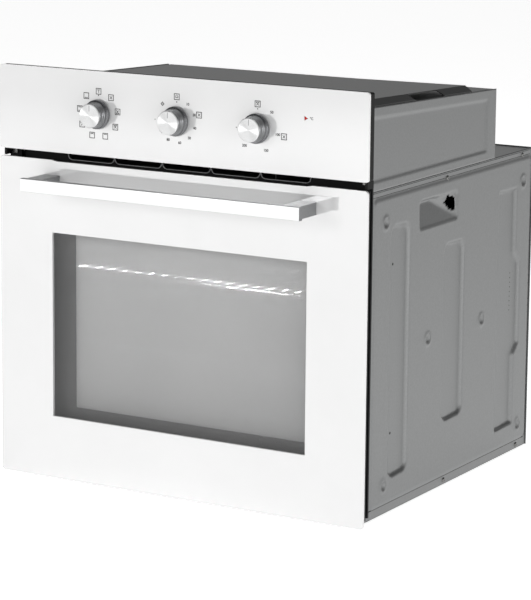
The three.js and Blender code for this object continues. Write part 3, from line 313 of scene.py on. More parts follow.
# Heater sheath of nickel alloy, browned by heat in patches.
heater = finish(
    "heat_stained_sheath",
    [(0.25, "#4a423b"), (0.6, "#5f5a55"), (0.8, "#6f665c")],
    18,
    (0.35, 0.55),
    Metallic=1.0,
)
# Mineral wool: matted fibres, yellowish.
wool = finish(
    "mineral_wool",
    [(0.2, "#a89c7c"), (0.8, "#d8cdb0")],
    3,
    (0.9, 1.0),
    relief=1.2,
    stretch=(3, 1, 1),
    IOR=1.45,
)
# Extruded silicone: dull black with a bloom.
silicone = finish("black_silicone", [(0.3, "#1b1b1b"), (0.7, "#262626")], 3, (0.6, 0.75), IOR=1.41)
# Acrylic lens, coloured red right through, with a smooth gloss.
red_lens = finish(
    "red_acrylic_lens",
    [(0.3, "#a81410"), (0.7, "#c22019")],
    2,
    (0.1, 0.18),
    IOR=1.49,
)
# Steatite: unglazed technical ceramic, chalky with fine pits.
ceramic = finish(
    "unglazed_steatite",
    [(0.3, "#d6d1c6"), (0.7, "#e3dfd6")],
    1.2,
    (0.6, 0.8),
    relief=0.03,
    IOR=1.58,
)
# Painted shade for the unlit inside of a hole, a seam or a slot: near black and dull.
painted_hole_shade = finish(
    "punched_hole_shadow",
    [(0.3, "#060606"), (0.7, "#0d0d0d")],
    1,
    (0.7, 0.9),
    IOR=1.45,
)


def spun_aluminium():
    """A disc turned on a lathe: fine rings, so each light shows as two bright fans across it."""
    made = finish(
        "spun_aluminium",
        [(0.0, "#d4d5d5"), (1.0, "#eeeeee")],
        1.0,
        (0.28, 0.36),
        kind="TexWave",
        pattern={"wave_type": "RINGS", "rings_direction": "Y", "Scale": 0.6, "Distortion": 0.4},
        relief=0.006,
        Metallic=1.0,
        Anisotropic=0.95,
    )
    tree = made.node_tree
    around = add(tree, "Tangent", {"direction_type": "RADIAL", "axis": "Y"})
    tree.links.new(around.outputs["Tangent"], tree.nodes["Principled BSDF"].inputs["Tangent"])
    return made


disc_aluminium = spun_aluminium()

# ---- CAD nodes whose shape is kept ------------------------------------------------------------

FINISHES = {
    white_glass: ["control_panel_glass"],
    clear_glass: ["door_middle_glass", "lamp_glass"],
    galvanised: [
        "base_panel",
        "rear_panel",
        "body_top_panel",
        "blower_housing",
        "fan_motor",
    ],
    # these tops get the darker sheet as painted shade
    shaded_galvanised: ["upper_cover", "air_duct_cover"],
    frame_coat: ["front_frame"],
    black_plastic: [
        "vent_grille",
        "panel_carrier",
        "terminal_block",
        "door_column_right",
        "door_column_left",
        "door_bottom_trim",
        "door_top_trim",
        "timer_mechanism",
    ],
    enamel: ["oven_cavity", "fan_cover"],
    aluminised: ["baking_tray"],
    brushed_aluminium: ["door_handle", "blower_rotor"],
    steel: [
        "hinge_channel_right",
        "hinge_channel_left",
        "hinge_spring_right",
        "hinge_spring_left",
        "hinge_arm_right",
        "hinge_arm_left",
        "thermostat",
        "thermostat_bulb",
        "blower_motor",
        "convection_fan",
    ],
    chrome: ["rack_guide_right", "rack_guide_left"],
    heater: ["grill_element", "bottom_element", "ring_element"],
    wool: ["insulation_blanket"],
    silicone: ["door_seal"],
    red_lens: ["signal_lamp"],
    ceramic: ["oven_lamp", "selector_switch"],
}
for surface, names in FINISHES.items():
    for name in names:
        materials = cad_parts[name].data.materials
        materials.clear()
        materials.append(surface)

# the bar's front is brushed bright, and its other faces get the darker copy as painted shade on its
# top and back
FACES_FRONT = -0.7  # a face whose normal's y is below this looks to the front
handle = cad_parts["door_handle"].data
handle.materials.append(shaded_aluminium)
for face in handle.polygons:
    face.material_index = 0 if face.normal.y < FACES_FRONT else 1

# ---- building pieces --------------------------------------------------------------------------


def piece(name, shape, body, materials, replaces=(), smooth=False):
    """Turns a bmesh into an object that rides on a body."""
    mesh = bpy.data.meshes.new(name)
    shape.to_mesh(mesh)
    shape.free()
    for surface in materials:
        mesh.materials.append(surface)
    for face in mesh.polygons:
        face.use_smooth = smooth
    made = bpy.data.objects.new(name, mesh)
    bpy.context.scene.collection.objects.link(made)
    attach(made, body)
    if replaces:
        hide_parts(*replaces)
    return made


def soften(made, width, segments=2, angle=35):
    """Rounds the sharp edges of a piece."""
    bevel = made.modifiers.new("edges", "BEVEL")
    bevel.width, bevel.segments = width * MM, segments
    bevel.limit_method, bevel.angle_limit = "ANGLE", math.radians(angle)
    bevel.harden_normals = True


def plate(outlines, front, back):
    """A closed slab facing the front. outlines are (x, z) polygons, with a material number each."""
    shape = bmesh.new()
    corners = {}
    edges = {}

    def corner(point, y):
        key = (round(point[0], 4), round(point[1], 4), y)
        if key not in corners:
            corners[key] = shape.verts.new(Vector((key[0], key[2], key[1])) * MM)
        return corners[key]

    for points, number in outlines:
        for y, order in ((front, points), (back, points[::-1])):
            shape.faces.new([corner(point, y) for point in order]).material_index = number
        for start, end in zip(points, points[1:] + points[:1]):
            ends = tuple(sorted(tuple(round(v, 4) for v in point) for point in (start, end)))
            edges.setdefault(ends, []).append((start, end, number))
    for uses in edges.values():
        if len(uses) == 1:
            start, end, number = uses[0]
            wall = [corner(start, front), corner(start, back)]
            wall += [corner(end, back), corner(end, front)]
            shape.faces.new(wall).material_index = number
    bmesh.ops.recalc_face_normals(shape, faces=shape.faces)
    return shape


def arc(x, z, radius, start, end, steps=6):
    """Points along an arc, by angles in degrees."""
    angles = [math.radians(start + (end - start) * i / steps) for i in range(steps + 1)]
    return [(x + radius * math.cos(a), z + radius * math.sin(a)) for a in angles]


def lathe(profile, x, z, segments=72):
    """A shape of revolution about a line along y through (x, z).

    profile is a list of (radius, y, material number), and a radius of 0 is a point on the line.
    """
    shape = bmesh.new()
    turn = [2 * math.pi * i / segments for i in range(segments)]
    rings = []
    for radius, y, _ in profile:
        angles = turn if radius else turn[:1]
        points = [(x + radius * math.sin(a), y, z + radius * math.cos(a)) for a in angles]
        rings.append([shape.verts.new(Vector(point) * MM) for point in points])
    for (low, high), (_, _, number) in zip(zip(rings, rings[1:]), profile):
        for i in range(segments):
            j = (i + 1) % segments
            quad = [low[i % len(low)], low[j % len(low)], high[j % len(high)], high[i % len(high)]]
            corners = list(dict.fromkeys(quad))
            shape.faces.new(corners).material_index = number
    bmesh.ops.recalc_face_normals(shape, faces=shape.faces)
    return shape


def tube(points, radius, sides=8):
    """A round wire through points, closed at its ends."""
    shape = bmesh.new()
    circle = [2 * math.pi * k / sides for k in range(sides)]
    rings = []
    for i, point in enumerate(points):
        before = points[max(i - 1, 0)]
        after = points[min(i + 1, len(points) - 1)]
        turn = (Vector(after) - Vector(before)).to_track_quat("Z", "Y")
        spokes = [turn @ Vector((radius * math.cos(a), radius * math.sin(a), 0)) for a in circle]
        rings.append([shape.verts.new((Vector(point) + spoke) * MM) for spoke in spokes])
    for low, high in zip(rings, rings[1:]):
        for k in range(sides):
            shape.faces.new([low[k], low[(k + 1) % sides], high[(k + 1) % sides], high[k]])
    for ring in (rings[0], rings[-1]):
        shape.faces.new(ring)
    bmesh.ops.recalc_face_normals(shape, faces=shape.faces)
    return shape


def mm_box(node):
    """A CAD node's lowest and highest corner, in millimetres."""
    return [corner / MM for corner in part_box(node)]


def merged(shapes):
    """Several bmeshes as one."""
    whole = bmesh.new()
    for shape in shapes:
        mesh = bpy.data.meshes.new("part")
        shape.to_mesh(mesh)
        shape.free()
        whole.from_mesh(mesh)
        bpy.data.meshes.remove(mesh)
    return whole


# ---- door glass -------------------------------------------------------------------------------

glass_low, glass_high = mm_box("door_outer_glass")
FRONT = glass_low.y
WINDOW_X = (-207, 206.5)
WINDOW_Z = (94, 361)
DOOR_CORNER = 5
# the middle of the door's upper edge stands lower, to let the cooling air out
TOP_DIP = 1.6
TOP_DIP_LEFT = (-208, -200)
TOP_DIP_RIGHT = (205, 213)
# the clear opening inside the inner pane's printed border
INNER_OPENING_X = (-191, 191)
INNER_OPENING_Z = (101.5, 358)


def door_glass():
    """The door's front pane, white round a clear window."""
    left, right = glass_low.x, glass_high.x
    low, high = glass_low.z, glass_high.z
    corner = DOOR_CORNER
    x0, x1 = WINDOW_X
    z0, z1 = WINDOW_Z
    lower = arc(left + corner, low + corner, corner, 180, 270)
    lower += arc(right - corner, low + corner, corner, 270, 360)
    dip = [
        (TOP_DIP_RIGHT[1], high),
        (TOP_DIP_RIGHT[0], high - TOP_DIP),
        (TOP_DIP_LEFT[1], high - TOP_DIP),
        (TOP_DIP_LEFT[0], high),
    ]
    upper = arc(right - corner, high - corner, corner, 0, 90) + dip
    upper += arc(left + corner, high - corner, corner, 90, 180)
    outlines = [
        ([(left, z0)] + lower + [(right, z0), (x1, z0), (x0, z0)], 0),
        ([(right, z1)] + upper + [(left, z1), (x0, z1), (x1, z1)], 0),
        ([(left, z0), (x0, z0), (x0, z1), (left, z1)], 0),
        ([(x1, z0), (right, z0), (right, z1), (x1, z1)], 0),
        ([(x0, z0), (x1, z0), (x1, z1), (x0, z1)], 1),
    ]
    shape = plate(outlines, FRONT, glass_high.y)
    made = piece(
        "door_front_glass",
        shape,
        "door",
        [white_glass, clear_glass],
        ["door_outer_glass"],
    )
    soften(made, 0.5)


def inner_pane():
    """The pane next to the cavity, with a dark border round its middle, which is veiled by a
    painted reflection.
    """
    low, high = mm_box("door_inner_glass")
    x = (low.x, *INNER_OPENING_X, high.x)
    z = (low.z, *INNER_OPENING_Z, high.z)
    outlines = []
    for i in range(3):
        for j in range(3):
            square = [(x[i], z[j]), (x[i + 1], z[j]), (x[i + 1], z[j + 1]), (x[i], z[j + 1])]
            outlines.append((square, 1 if i == j == 1 else 0))
    piece(
        "inner_pane_with_print",
        plate(outlines, low.y, high.y),
        "door",
        [dark_print, reflection_veiled_glass],
        ["door_inner_glass"],
    )


door_glass()
inner_pane()

# ---- knobs ------------------------------------------------------------------------------------

KNOBS = ["function", "timer", "thermostat"]
FRONT_RADIUS, REAR_RADIUS, COLLAR_RADIUS = 16.6, 18.2, 20.4
# two grooves round the body: the distance behind its front, and its radius there
GROOVES = ((6.0, 17.1), (9.5, 17.5))
GROOVE_DEPTH, GROOVE_MOUTH, GROOVE_FLOOR = 0.9, 0.6, 0.3
SHAFT_RADIUS = 3
KNOB_CLEARANCE = 0.5  # between a knob's collar and its base ring
POINTER_WIDTH = 1.0
POINTER_REACH = (6.5, 14.5)
RING_BORE = 5


def knob(name):
    """One knob with its disc, pointer and base ring. Gives the place of its middle."""
    low, high = mm_box(name + "_knob")
    x, z = (low.x + high.x) / 2, (low.z + high.z) / 2
    cap_low, cap_high = mm_box(name + "_knob_cap")
    ring_low, ring_high = mm_box(name + "_bezel")
    cap_radius = (cap_high.x - cap_low.x) / 2
    ring_radius = (ring_high.x - ring_low.x) / 2
    back = ring_low.y - KNOB_CLEARANCE
    start = cap_high.y + 0.3
    # material 1 is the darker grey: on the rear and collar, and as painted shade in the grooves and
    # the ring behind the disc's rim
    profile = [
        (0, start, 0),
        (FRONT_RADIUS - 1.2, start, 0),
        (FRONT_RADIUS - 1.2, start + 0.6, 1),
        (FRONT_RADIUS - 0.1, start + 0.9, 0),
    ]
    for place, radius in GROOVES:
        profile += [
            (radius, start + place - GROOVE_MOUTH, 1),
            (radius - GROOVE_DEPTH, start + place - GROOVE_FLOOR, 1),
            (radius - GROOVE_DEPTH, start + place + GROOVE_FLOOR, 0),
            (radius + 0.15, start + place + GROOVE_MOUTH, 0),
        ]
    profile += [
        (REAR_RADIUS, back - 6.6, 1),
        (REAR_RADIUS - 1.2, back - 6.0, 1),
        (REAR_RADIUS - 1.2, back - 5.4, 1),
        (COLLAR_RADIUS - 0.7, back - 5.0, 1),
        (COLLAR_RADIUS, back - 4.2, 1),
        (COLLAR_RADIUS, back - 0.5, 1),
        (COLLAR_RADIUS - 0.5, back, 1),
        (SHAFT_RADIUS, back, 1),
        (SHAFT_RADIUS, high.y, 1),
        (0, high.y, 1),
    ]
    body = name + "_control"
    piece(
        name + "_knob_turned",
        lathe(profile, x, z),
        body,
        [knob_plastic, collar_grey_and_groove_shade],
        [name + "_knob"],
        smooth=True,
    )
    rim = [
        (0, 0, 0),
        (cap_radius - 0.7, 0, 0),
        (cap_radius, 0.5, 0),
        (cap_radius, cap_high.y - cap_low.y, 0),
        (0, cap_high.y - cap_low.y, 0),
    ]
    disc = piece(
        name + "_disc",
        lathe(rim, 0, 0, 96),
        body,
        [disc_aluminium],
        [name + "_knob_cap"],
    )
    disc.matrix_world = Matrix.Translation(Vector((x, cap_low.y, z)) * MM)
    left, right = x - POINTER_WIDTH / 2, x + POINTER_WIDTH / 2
    inner, outer = z + POINTER_REACH[0], z + POINTER_REACH[1]
    pointer = [[(left, inner), (right, inner), (right, outer), (left, outer)], 0]
    mark = plate([pointer], cap_low.y - 0.03, cap_low.y + 0.2)
    piece(name + "_pointer", mark, body, [knob_plastic])
    front = ring_low.y
    ring = [
        (RING_BORE, ring_high.y, 0),
        (RING_BORE, front, 0),
        (ring_radius - 1.4, front, 0),
        (ring_radius - 0.4, front + 0.3, 0),
        (ring_radius, front + 0.8, 0),
        (ring_radius, ring_high.y, 0),
        (RING_BORE, ring_high.y, 0),
    ]
    piece(
        name + "_base_ring",
        lathe(ring, x, z),
        "casing",
        [ring_plastic],
        [name + "_bezel"],
        smooth=True,
    )
    return x, z


knob_places = {name: knob(name) for name in KNOBS}

# ---- print on the control panel ---------------------------------------------------------------

PRINT_THICKNESS = 0.06
INK = (FRONT - PRINT_THICKNESS, FRONT + 0.1)  # the ink's face, and its back inside the glass
LINE = 1.0
ICON_LINE = 0.85
ICON_SIDE = 8.0
NUMERAL_HEIGHT = 3.6
TYPE_SIZE = 1.4  # a numeral's type size, as a multiple of its height
TYPE_WEIGHT = 0.16


def stroke(points, width=LINE):
    """Thin bars along a line of (x, z) points."""
    bars = []
    for (xa, za), (xb, zb) in zip(points, points[1:]):
        length = math.hypot(xb - xa, zb - za)
        across = Vector((-(zb - za), xb - xa)) / length * width / 2
        along = Vector((xb - xa, zb - za)) / length * width / 2
        start, end = Vector((xa, za)) - along, Vector((xb, zb)) + along
        corners = [start - across, end - across, end + across, start + across]
        bars.append(plate([([tuple(c) for c in corners], 0)], *INK))
    return bars


def dot(x, z, radius):
    """A round dot of ink."""
    return [plate([(arc(x, z, radius, 0, 330, 11), 0)], *INK)]


def lettering(text, x, z, height=NUMERAL_HEIGHT):
    """Numerals as flat ink."""
    curve = bpy.data.curves.new("numerals", "FONT")
    curve.body, curve.size = text, height * TYPE_SIZE * MM
    curve.align_x = curve.align_y = "CENTER"
    curve.extrude, curve.offset = PRINT_THICKNESS / 2 * MM, TYPE_WEIGHT * MM
    holder = bpy.data.objects.new("numerals", curve)
    bpy.context.scene.collection.objects.link(holder)
    bpy.context.view_layer.update()
    drawn = holder.evaluated_get(bpy.context.evaluated_depsgraph_get())
    mesh = bpy.data.meshes.new_from_object(drawn)
    turn = Matrix.Rotation(math.pi / 2, 4, "X")
    mesh.transform(Matrix.Translation(Vector((x, FRONT - PRINT_THICKNESS / 2, z)) * MM) @ turn)
    shape = bmesh.new()
    shape.from_mesh(mesh)
    bpy.data.objects.remove(holder)
    bpy.data.curves.remove(curve)
    bpy.data.meshes.remove(mesh)
    return [shape]


def square_icon(x, z, extra):
    """A square outline with lines inside, given in units of half its side."""
    h = ICON_SIDE / 2
    outline = [(x - h, z - h), (x + h, z - h), (x + h, z + h), (x - h, z + h), (x - h, z - h)]
    shapes = stroke(outline)
    for line in extra:
        shapes += stroke([(x + a * h, z + b * h) for a, b in line], ICON_LINE)
    return shapes


FAN_LINES = [[(-0.45, -0.45), (0.45, 0.45)], [(-0.45, 0.45), (0.45, -0.45)]]
TOP_LINE = [(-0.55, 0.6), (0.55, 0.6)]
BOTTOM_LINE = [(-0.55, -0.6), (0.55, -0.6)]
ZIGZAG = [(-0.6, 0.4), (-0.3, 0.7), (0, 0.4), (0.3, 0.7), (0.6, 0.4)]
FUNCTIONS = [
    [[(0, 0.5), (0, -0.5)], [(-0.5, 0.5), (0.5, 0.5)]],
    [*FAN_LINES],
    [*FAN_LINES, BOTTOM_LINE],
    [*FAN_LINES, TOP_LINE],
    [TOP_LINE],
    [ZIGZAG],
    [ZIGZAG, FAN_LINES[0]],
    [TOP_LINE, BOTTOM_LINE],
    [BOTTOM_LINE],
]
CLOCK_LINES = [[(-0.4, 0.4), (-0.4, -0.3), (0.5, -0.3)], [(0, 0.6), (0.5, 0)]]
DIAMOND = [(-2.4, 0), (0, 2.4), (2.4, 0), (0, -2.4), (-2.4, 0)]
# clockwise angles from the top of a knob
FUNCTION_STEP = 40
TIMER_NUMERALS = [
    (36, "10"),
    (70, "20"),
    (105, "40"),
    (137, "50"),
    (170.5, "60"),
    (207, "80"),
    (236, "90"),
]
THERMOSTAT_NUMERALS = [(43.6, "50"), (101.4, "100"), (155, "150"), (218.8, "200")]
# how far the print stands from the middle of a knob
ICON_CIRCLE = 32
MARK_CIRCLE = 26.3
TIMER_CIRCLE = 30
UNIT_PLACE, UNIT_HEIGHT = (211, 554.5), 3.4


def around(centre, radius, degrees):
    """The point at a radius and a clockwise angle from the top."""
    a = math.radians(degrees)
    return centre[0] + radius * math.sin(a), centre[1] + radius * math.cos(a)


def panel_print():
    """Every icon, mark and numeral on the control panel, as one piece of ink."""
    shapes = []
    function, timer, thermostat = (knob_places[name] for name in KNOBS)
    for i, lines in enumerate(FUNCTIONS):
        shapes += square_icon(*around(function, ICON_CIRCLE, FUNCTION_STEP * i), lines)
    for centre in (function, timer, thermostat):
        shapes += dot(*around(centre, MARK_CIRCLE, 0), 0.9)
    for degrees, text in TIMER_NUMERALS:
        shapes += lettering(text, *around(timer, TIMER_CIRCLE, degrees))
    shapes += dot(*around(timer, 35, 270), 0.7)
    shapes += square_icon(*around(timer, 33.5, 0), CLOCK_LINES)
    shapes += square_icon(*around(timer, 37.5, 73), FAN_LINES)
    hand = around(timer, ICON_CIRCLE, 314)
    shapes += stroke([(hand[0] + a, hand[1] + b) for a, b in DIAMOND])
    shapes += dot(*hand, 0.6)
    for degrees, text in THERMOSTAT_NUMERALS:
        shapes += lettering(text, *around(thermostat, ICON_CIRCLE, degrees))
    shapes += dot(*around(thermostat, 33, 268), 0.8)
    shapes += square_icon(*around(thermostat, 33, 0), [*FAN_LINES, TOP_LINE])
    shapes += square_icon(*around(thermostat, 42, 101.4), FAN_LINES)
    shapes += lettering("°C", *UNIT_PLACE, UNIT_HEIGHT)
    piece("panel_print", merged(shapes), "casing", [black_ink])


panel_print()

# ---- casing sides -----------------------------------------------------------------------------

SIGNS = {"right": 1, "left": -1}
BODY_HALF = 280  # from the middle of the oven to the flat outside of a side
SHEET = 1.2
SIDE_STEP = 2.5
# depths on the sides are counted from the front of the glass, and heights from the base
FIELD_Y, FIELD_Z, FIELD_CORNER = (51, 549.5), (13.5, 444.5), 10
MARGIN_DROP, MARGIN_FLANK = 1.6, 4
PRESSED = 4.0
FRONT_FLANK, REAR_FLANK = 2.2, 6.0
RIB_CORNER = 16
RIBS = [((102, 160), (48, 402)), ((264, 330), (94, 353))]
REAR_RIB = [
    (441, 42),
    (502, 42),
    (502, 148),
    (518, 164),
    (518, 289),
    (502, 305),
    (502, 402),
    (441, 402),
]
REAR_RIB_Y = (441, 518)
DIMPLES = [(86, 408), (520.5, 408), (388, 222), (217, 224.5), (89, 41), (519.5, 38)]
GRIP_Y = (187, 303)
GRIP_Z = (383, 423)
SLOT = [(265, 412), (273, 420), (298, 415), (298, 398), (283, 399)]
NOTCH = (28, 12.5)  # at the foot of the door, which turns through it


def smooth(value):
    """0 below 0, 1 above 1, and a soft step between."""
    t = min(max(value, 0.0), 1.0)
    return t * t * (3 - 2 * t)


def inside_box(y, z, across, up, corner):
    """How far a point lies inside a rectangle with rounded corners."""
    dy = abs(y - (across[0] + across[1]) / 2) - (across[1] - across[0]) / 2 + corner
    dz = abs(z - (up[0] + up[1]) / 2) - (up[1] - up[0]) / 2 + corner
    return corner - math.hypot(max(dy, 0), max(dz, 0)) - min(max(dy, dz), 0)


def inside_polygon(y, z, corners):
    """How far a point lies inside a polygon, and less than nothing outside it."""
    nearest, inside = 1e9, False
    for (ya, za), (yb, zb) in zip(corners, corners[1:] + corners[:1]):
        t = ((y - ya) * (yb - ya) + (z - za) * (zb - za)) / ((yb - ya) ** 2 + (zb - za) ** 2)
        t = min(max(t, 0), 1)
        nearest = min(nearest, math.hypot(y - ya - t * (yb - ya), z - za - t * (zb - za)))
        if (za > z) != (zb > z) and y < ya + (z - za) * (yb - ya) / (zb - za):
            inside = not inside
    return nearest if inside else -nearest


def flank_width(y, across):
    """Steep at a rib's front edge, and wider towards its rear edge."""
    rearward = smooth((y - across[0]) / (across[1] - across[0]) * 1.4)
    return FRONT_FLANK + (REAR_FLANK - FRONT_FLANK) * rearward


def side_height(y, z):
    """How far the pressed side sheet stands out from its flat plane, at a depth and a height."""
    field = inside_box(y, z, FIELD_Y, FIELD_Z, FIELD_CORNER)
    height = -MARGIN_DROP + MARGIN_DROP * smooth(field / MARGIN_FLANK)
    for across, up in RIBS:
        within = inside_box(y, z, across, up, RIB_CORNER)
        height -= PRESSED * smooth(within / flank_width(y, across))
    if 430 < y < 530:
        within = inside_polygon(y, z, REAR_RIB)
        height -= PRESSED * smooth(within / flank_width(y, REAR_RIB_Y))
    for centre_y, centre_z in DIMPLES:
        away = math.hypot(y - centre_y, z - centre_z)
        if away < 13:
            height += 1.3 * smooth((12 - away) / 4) - 2.6 * smooth((8 - away) / 4)
    grip = inside_box(y, z, GRIP_Y, GRIP_Z, 4)
    if grip > -1:
        # the floor leans back to a curved valley, and the sheet rises again beyond it
        beyond = z - min(419, 419 - 0.47 * (y - 229))
        lean = 1.0 + 9 * min(max((z - GRIP_Z[0]) / 36, 0), 1)
        height -= smooth((grip + 0.5) / 2) * lean * (1 - 0.75 * smooth((beyond + 1) / 16))
    return height


def thicken(made):
    """Gives a pressed surface the sheet's thickness, inwards."""
    sheet = made.modifiers.new("sheet", "SOLIDIFY")
    sheet.thickness, sheet.offset = SHEET * MM, -1


def side_sheet(side):
    """One pressed side of the casing, as a grid that follows the pressings."""
    low, high = mm_box("side_panel_" + side)
    sign = SIGNS[side]
    columns = round((high.y - low.y) / SIDE_STEP)
    rows = round((high.z - low.z) / SIDE_STEP)
    step = 1
    depths = [low.y + (high.y - low.y) * i / columns for i in range(0, columns + 1, step)]
    levels = [low.z + (high.z - low.z) * i / rows for i in range(0, rows + 1, step)]
    shape = bmesh.new()
    grid = []
    for y in depths:
        heights = [side_height(y - FRONT, z) for z in levels]
        points = [(sign * (BODY_HALF + h), y, z) for z, h in zip(levels, heights)]
        grid.append([shape.verts.new(Vector(point) * MM) for point in points])
    for i in range(len(depths) - 1):
        for j in range(len(levels) - 1):
            y = (depths[i] + depths[i + 1]) / 2 - FRONT
            z = (levels[j] + levels[j + 1]) / 2
            if inside_polygon(y, z, SLOT) > 0 or (y < NOTCH[0] and z < NOTCH[1]):
                continue
            quad = [grid[i][j], grid[i + 1][j], grid[i + 1][j + 1], grid[i][j + 1]]
            shape.faces.new(quad if sign > 0 else quad[::-1])
    made = piece(
        "pressed_side_" + side,
        shape,
        "casing",
        [galvanised],
        ["side_panel_" + side],
        smooth=True,
    )
    thicken(made)


UPPER_FIELD = [(30, 466), (394, 466), (394, 544.5), (30, 557.5)]
UPPER_PRESSED, UPPER_FLANK = 1.3, 4.5
UPPER_FALL = 0.0361  # how far the top edge falls for each millimetre to the rear


def upper_sheet(side):
    """One side of the upper compartment, lower to the rear, with a shallow pressed field."""
    low, high = mm_box("upper_side_" + side)
    sign = SIGNS[side]
    columns, rows = round((high.y - low.y) / 3), round((high.z - low.z) / 2)
    shape = bmesh.new()
    grid = []
    for i in range(columns + 1):
        y = low.y + (high.y - low.y) * i / columns
        top = high.z - UPPER_FALL * (y - low.y)
        column = []
        for j in range(rows + 1):
            z = low.z + (top - low.z) * j / rows
            pressing = smooth(inside_polygon(y - FRONT, z, UPPER_FIELD) / UPPER_FLANK)
            out = BODY_HALF - UPPER_PRESSED * pressing
            column.append(shape.verts.new(Vector((sign * out, y, z)) * MM))
        grid.append(column)
    for before, after in zip(grid, grid[1:]):
        for j in range(rows):
            quad = [before[j], after[j], after[j + 1], before[j + 1]]
            shape.faces.new(quad if sign > 0 else quad[::-1])
    made = piece(
        "pressed_upper_side_" + side,
        shape,
        "casing",
        [galvanised],
        ["upper_side_" + side],
        smooth=True,
    )
    thicken(made)


HOLLOW_HALF = 267.6  # from the middle of the oven to the plate behind the slot
HOLLOW = [(258, 388), (345, 388), (345, 424), (258, 424)]
HOLLOW_THICKNESS = 0.4


def slot_back(side):
    """A near-black plate behind the finger slot: painted shade for the hollow seen through it."""
    sign = SIGNS[side]
    shape = bmesh.new()
    corners = [(sign * HOLLOW_HALF, y + FRONT, z) for y, z in HOLLOW]
    shape.faces.new([shape.verts.new(Vector(corner) * MM) for corner in corners])
    bmesh.ops.solidify(shape, geom=shape.faces[:], thickness=HOLLOW_THICKNESS * MM)
    piece("finger_slot_hollow_" + side, shape, "casing", [painted_hole_shade])


# each joint's front end, rear end, height and half its width
SEAMS = ((40, 545, 13.2, 0.8), (40, 545, 452.2, 0.35), (30, 545, 446.2, 0.25))
SEAM_STAND = 0.25


def seams(side):
    """Dark strips along the joints between the side sheet and the lips of the base and of the top:
    painted shade in the seams.
    """
    sign = SIGNS[side]
    shapes = []
    for start, end, z, half in SEAMS:
        strip = bmesh.new()
        bmesh.ops.create_cube(strip, size=1)
        out = BODY_HALF + min(side_height(end / 2, z), 0)
        for vert in strip.verts:
            x, y, up = vert.co
            depth = FRONT + start + (end - start) * (y + 0.5)
            vert.co = Vector((sign * (out + SEAM_STAND * x), depth, z + 2 * half * up)) * MM
        shapes.append(strip)
    piece("side_seams_" + side, merged(shapes), "casing", [painted_hole_shade])


for side in SIGNS:
    side_sheet(side)
    upper_sheet(side)
    slot_back(side)
    seams(side)

# ---- screws and holes -------------------------------------------------------------------------

SIDE_SCREWS = [(272, 445.5), (519, 447.5), (278, 6.5), (519.5, 6)]
SIDE_HOLES = [(115, 347), (446, 346), (115, 110), (446, 108)]
PERFORATIONS = [(490, z) for z in range(218, 277, 7)]
PERFORATIONS += [(547, z) for z in (206, 216, 226, 250, 262)]
HOLE_RADIUS, PERFORATION_RADIUS = 1.9, 0.9
REAR_SCREWS = [(x, z) for x in (-272, 0, 272) for z in (10, 160, 304, 446)]
REAR_HEAD = 0.02  # nearly flush heads, so that nothing stands out behind the rear panel
# a pan head's profile from its middle to its rim: radius and rise
HEAD = [(0, 1.2), (1.0, 1.3), (1.1, 2.0), (2.6, 1.7), (3.5, 0.8), (3.7, 0)]


def screw_shape(height):
    """A pan head with a recess, on the x axis, its seat at the origin."""
    head = lathe([(radius, -height * rise, 0) for radius, rise in HEAD], 0, 0, 20)
    bmesh.ops.rotate(head, verts=head.verts, matrix=Matrix.Rotation(math.pi / 2, 3, "Z"))
    return head


def screw(name, point, direction, height=1.0):
    """One screw with its seat at a point in millimetres, its head facing a direction."""
    made = piece(name, screw_shape(height), "casing", [zinc], smooth=True)
    turn = Vector((1, 0, 0)).rotation_difference(Vector(direction)).to_matrix().to_4x4()
    made.matrix_world = Matrix.Translation(Vector(point) * MM) @ turn


def hole(x, y, z, radius, sign):
    """A punched hole's mouth, as a thin near-black disc on the side sheet: painted shade for its
    inside.
    """
    disc = lathe([(0, -0.05, 0), (radius, -0.05, 0), (radius, 0.3, 0)], 0, 0, 12)
    bmesh.ops.rotate(disc, verts=disc.verts, matrix=Matrix.Rotation(sign * math.pi / 2, 3, "Z"))
    bmesh.ops.translate(disc, verts=disc.verts, vec=Vector((x, y, z)) * MM)
    return disc


for side, sign in SIGNS.items():
    for number, (y, z) in enumerate(SIDE_SCREWS):
        seat = BODY_HALF + side_height(y, z)
        screw(f"side_screw_{side}_{number + 1}", (sign * seat, y + FRONT, z), (sign, 0, 0))
    mouths = [(y, z, HOLE_RADIUS) for y, z in SIDE_HOLES]
    mouths += [(y, z, PERFORATION_RADIUS) for y, z in PERFORATIONS]
    holes = []
    for y, z, radius in mouths:
        seat = BODY_HALF + side_height(y, z)
        holes.append(hole(sign * seat, y + FRONT, z, radius, sign))
    piece(f"side_holes_{side}", merged(holes), "casing", [painted_hole_shade])
rear_y = mm_box("rear_panel")[1].y
for number, (x, z) in enumerate(REAR_SCREWS):
    # the middle column has only its lowest and highest screw
    if x == 0 and 10 < z < 446:
        continue
    screw(f"rear_screw_{number + 1}", (x, rear_y, z), (0, 1, 0), REAR_HEAD)

# ---- wire rack --------------------------------------------------------------------------------

BAR_RADIUS, WIRE_RADIUS = 3, 1.5
WIRE_PITCH, WIRES_EACH_SIDE = 22, 9


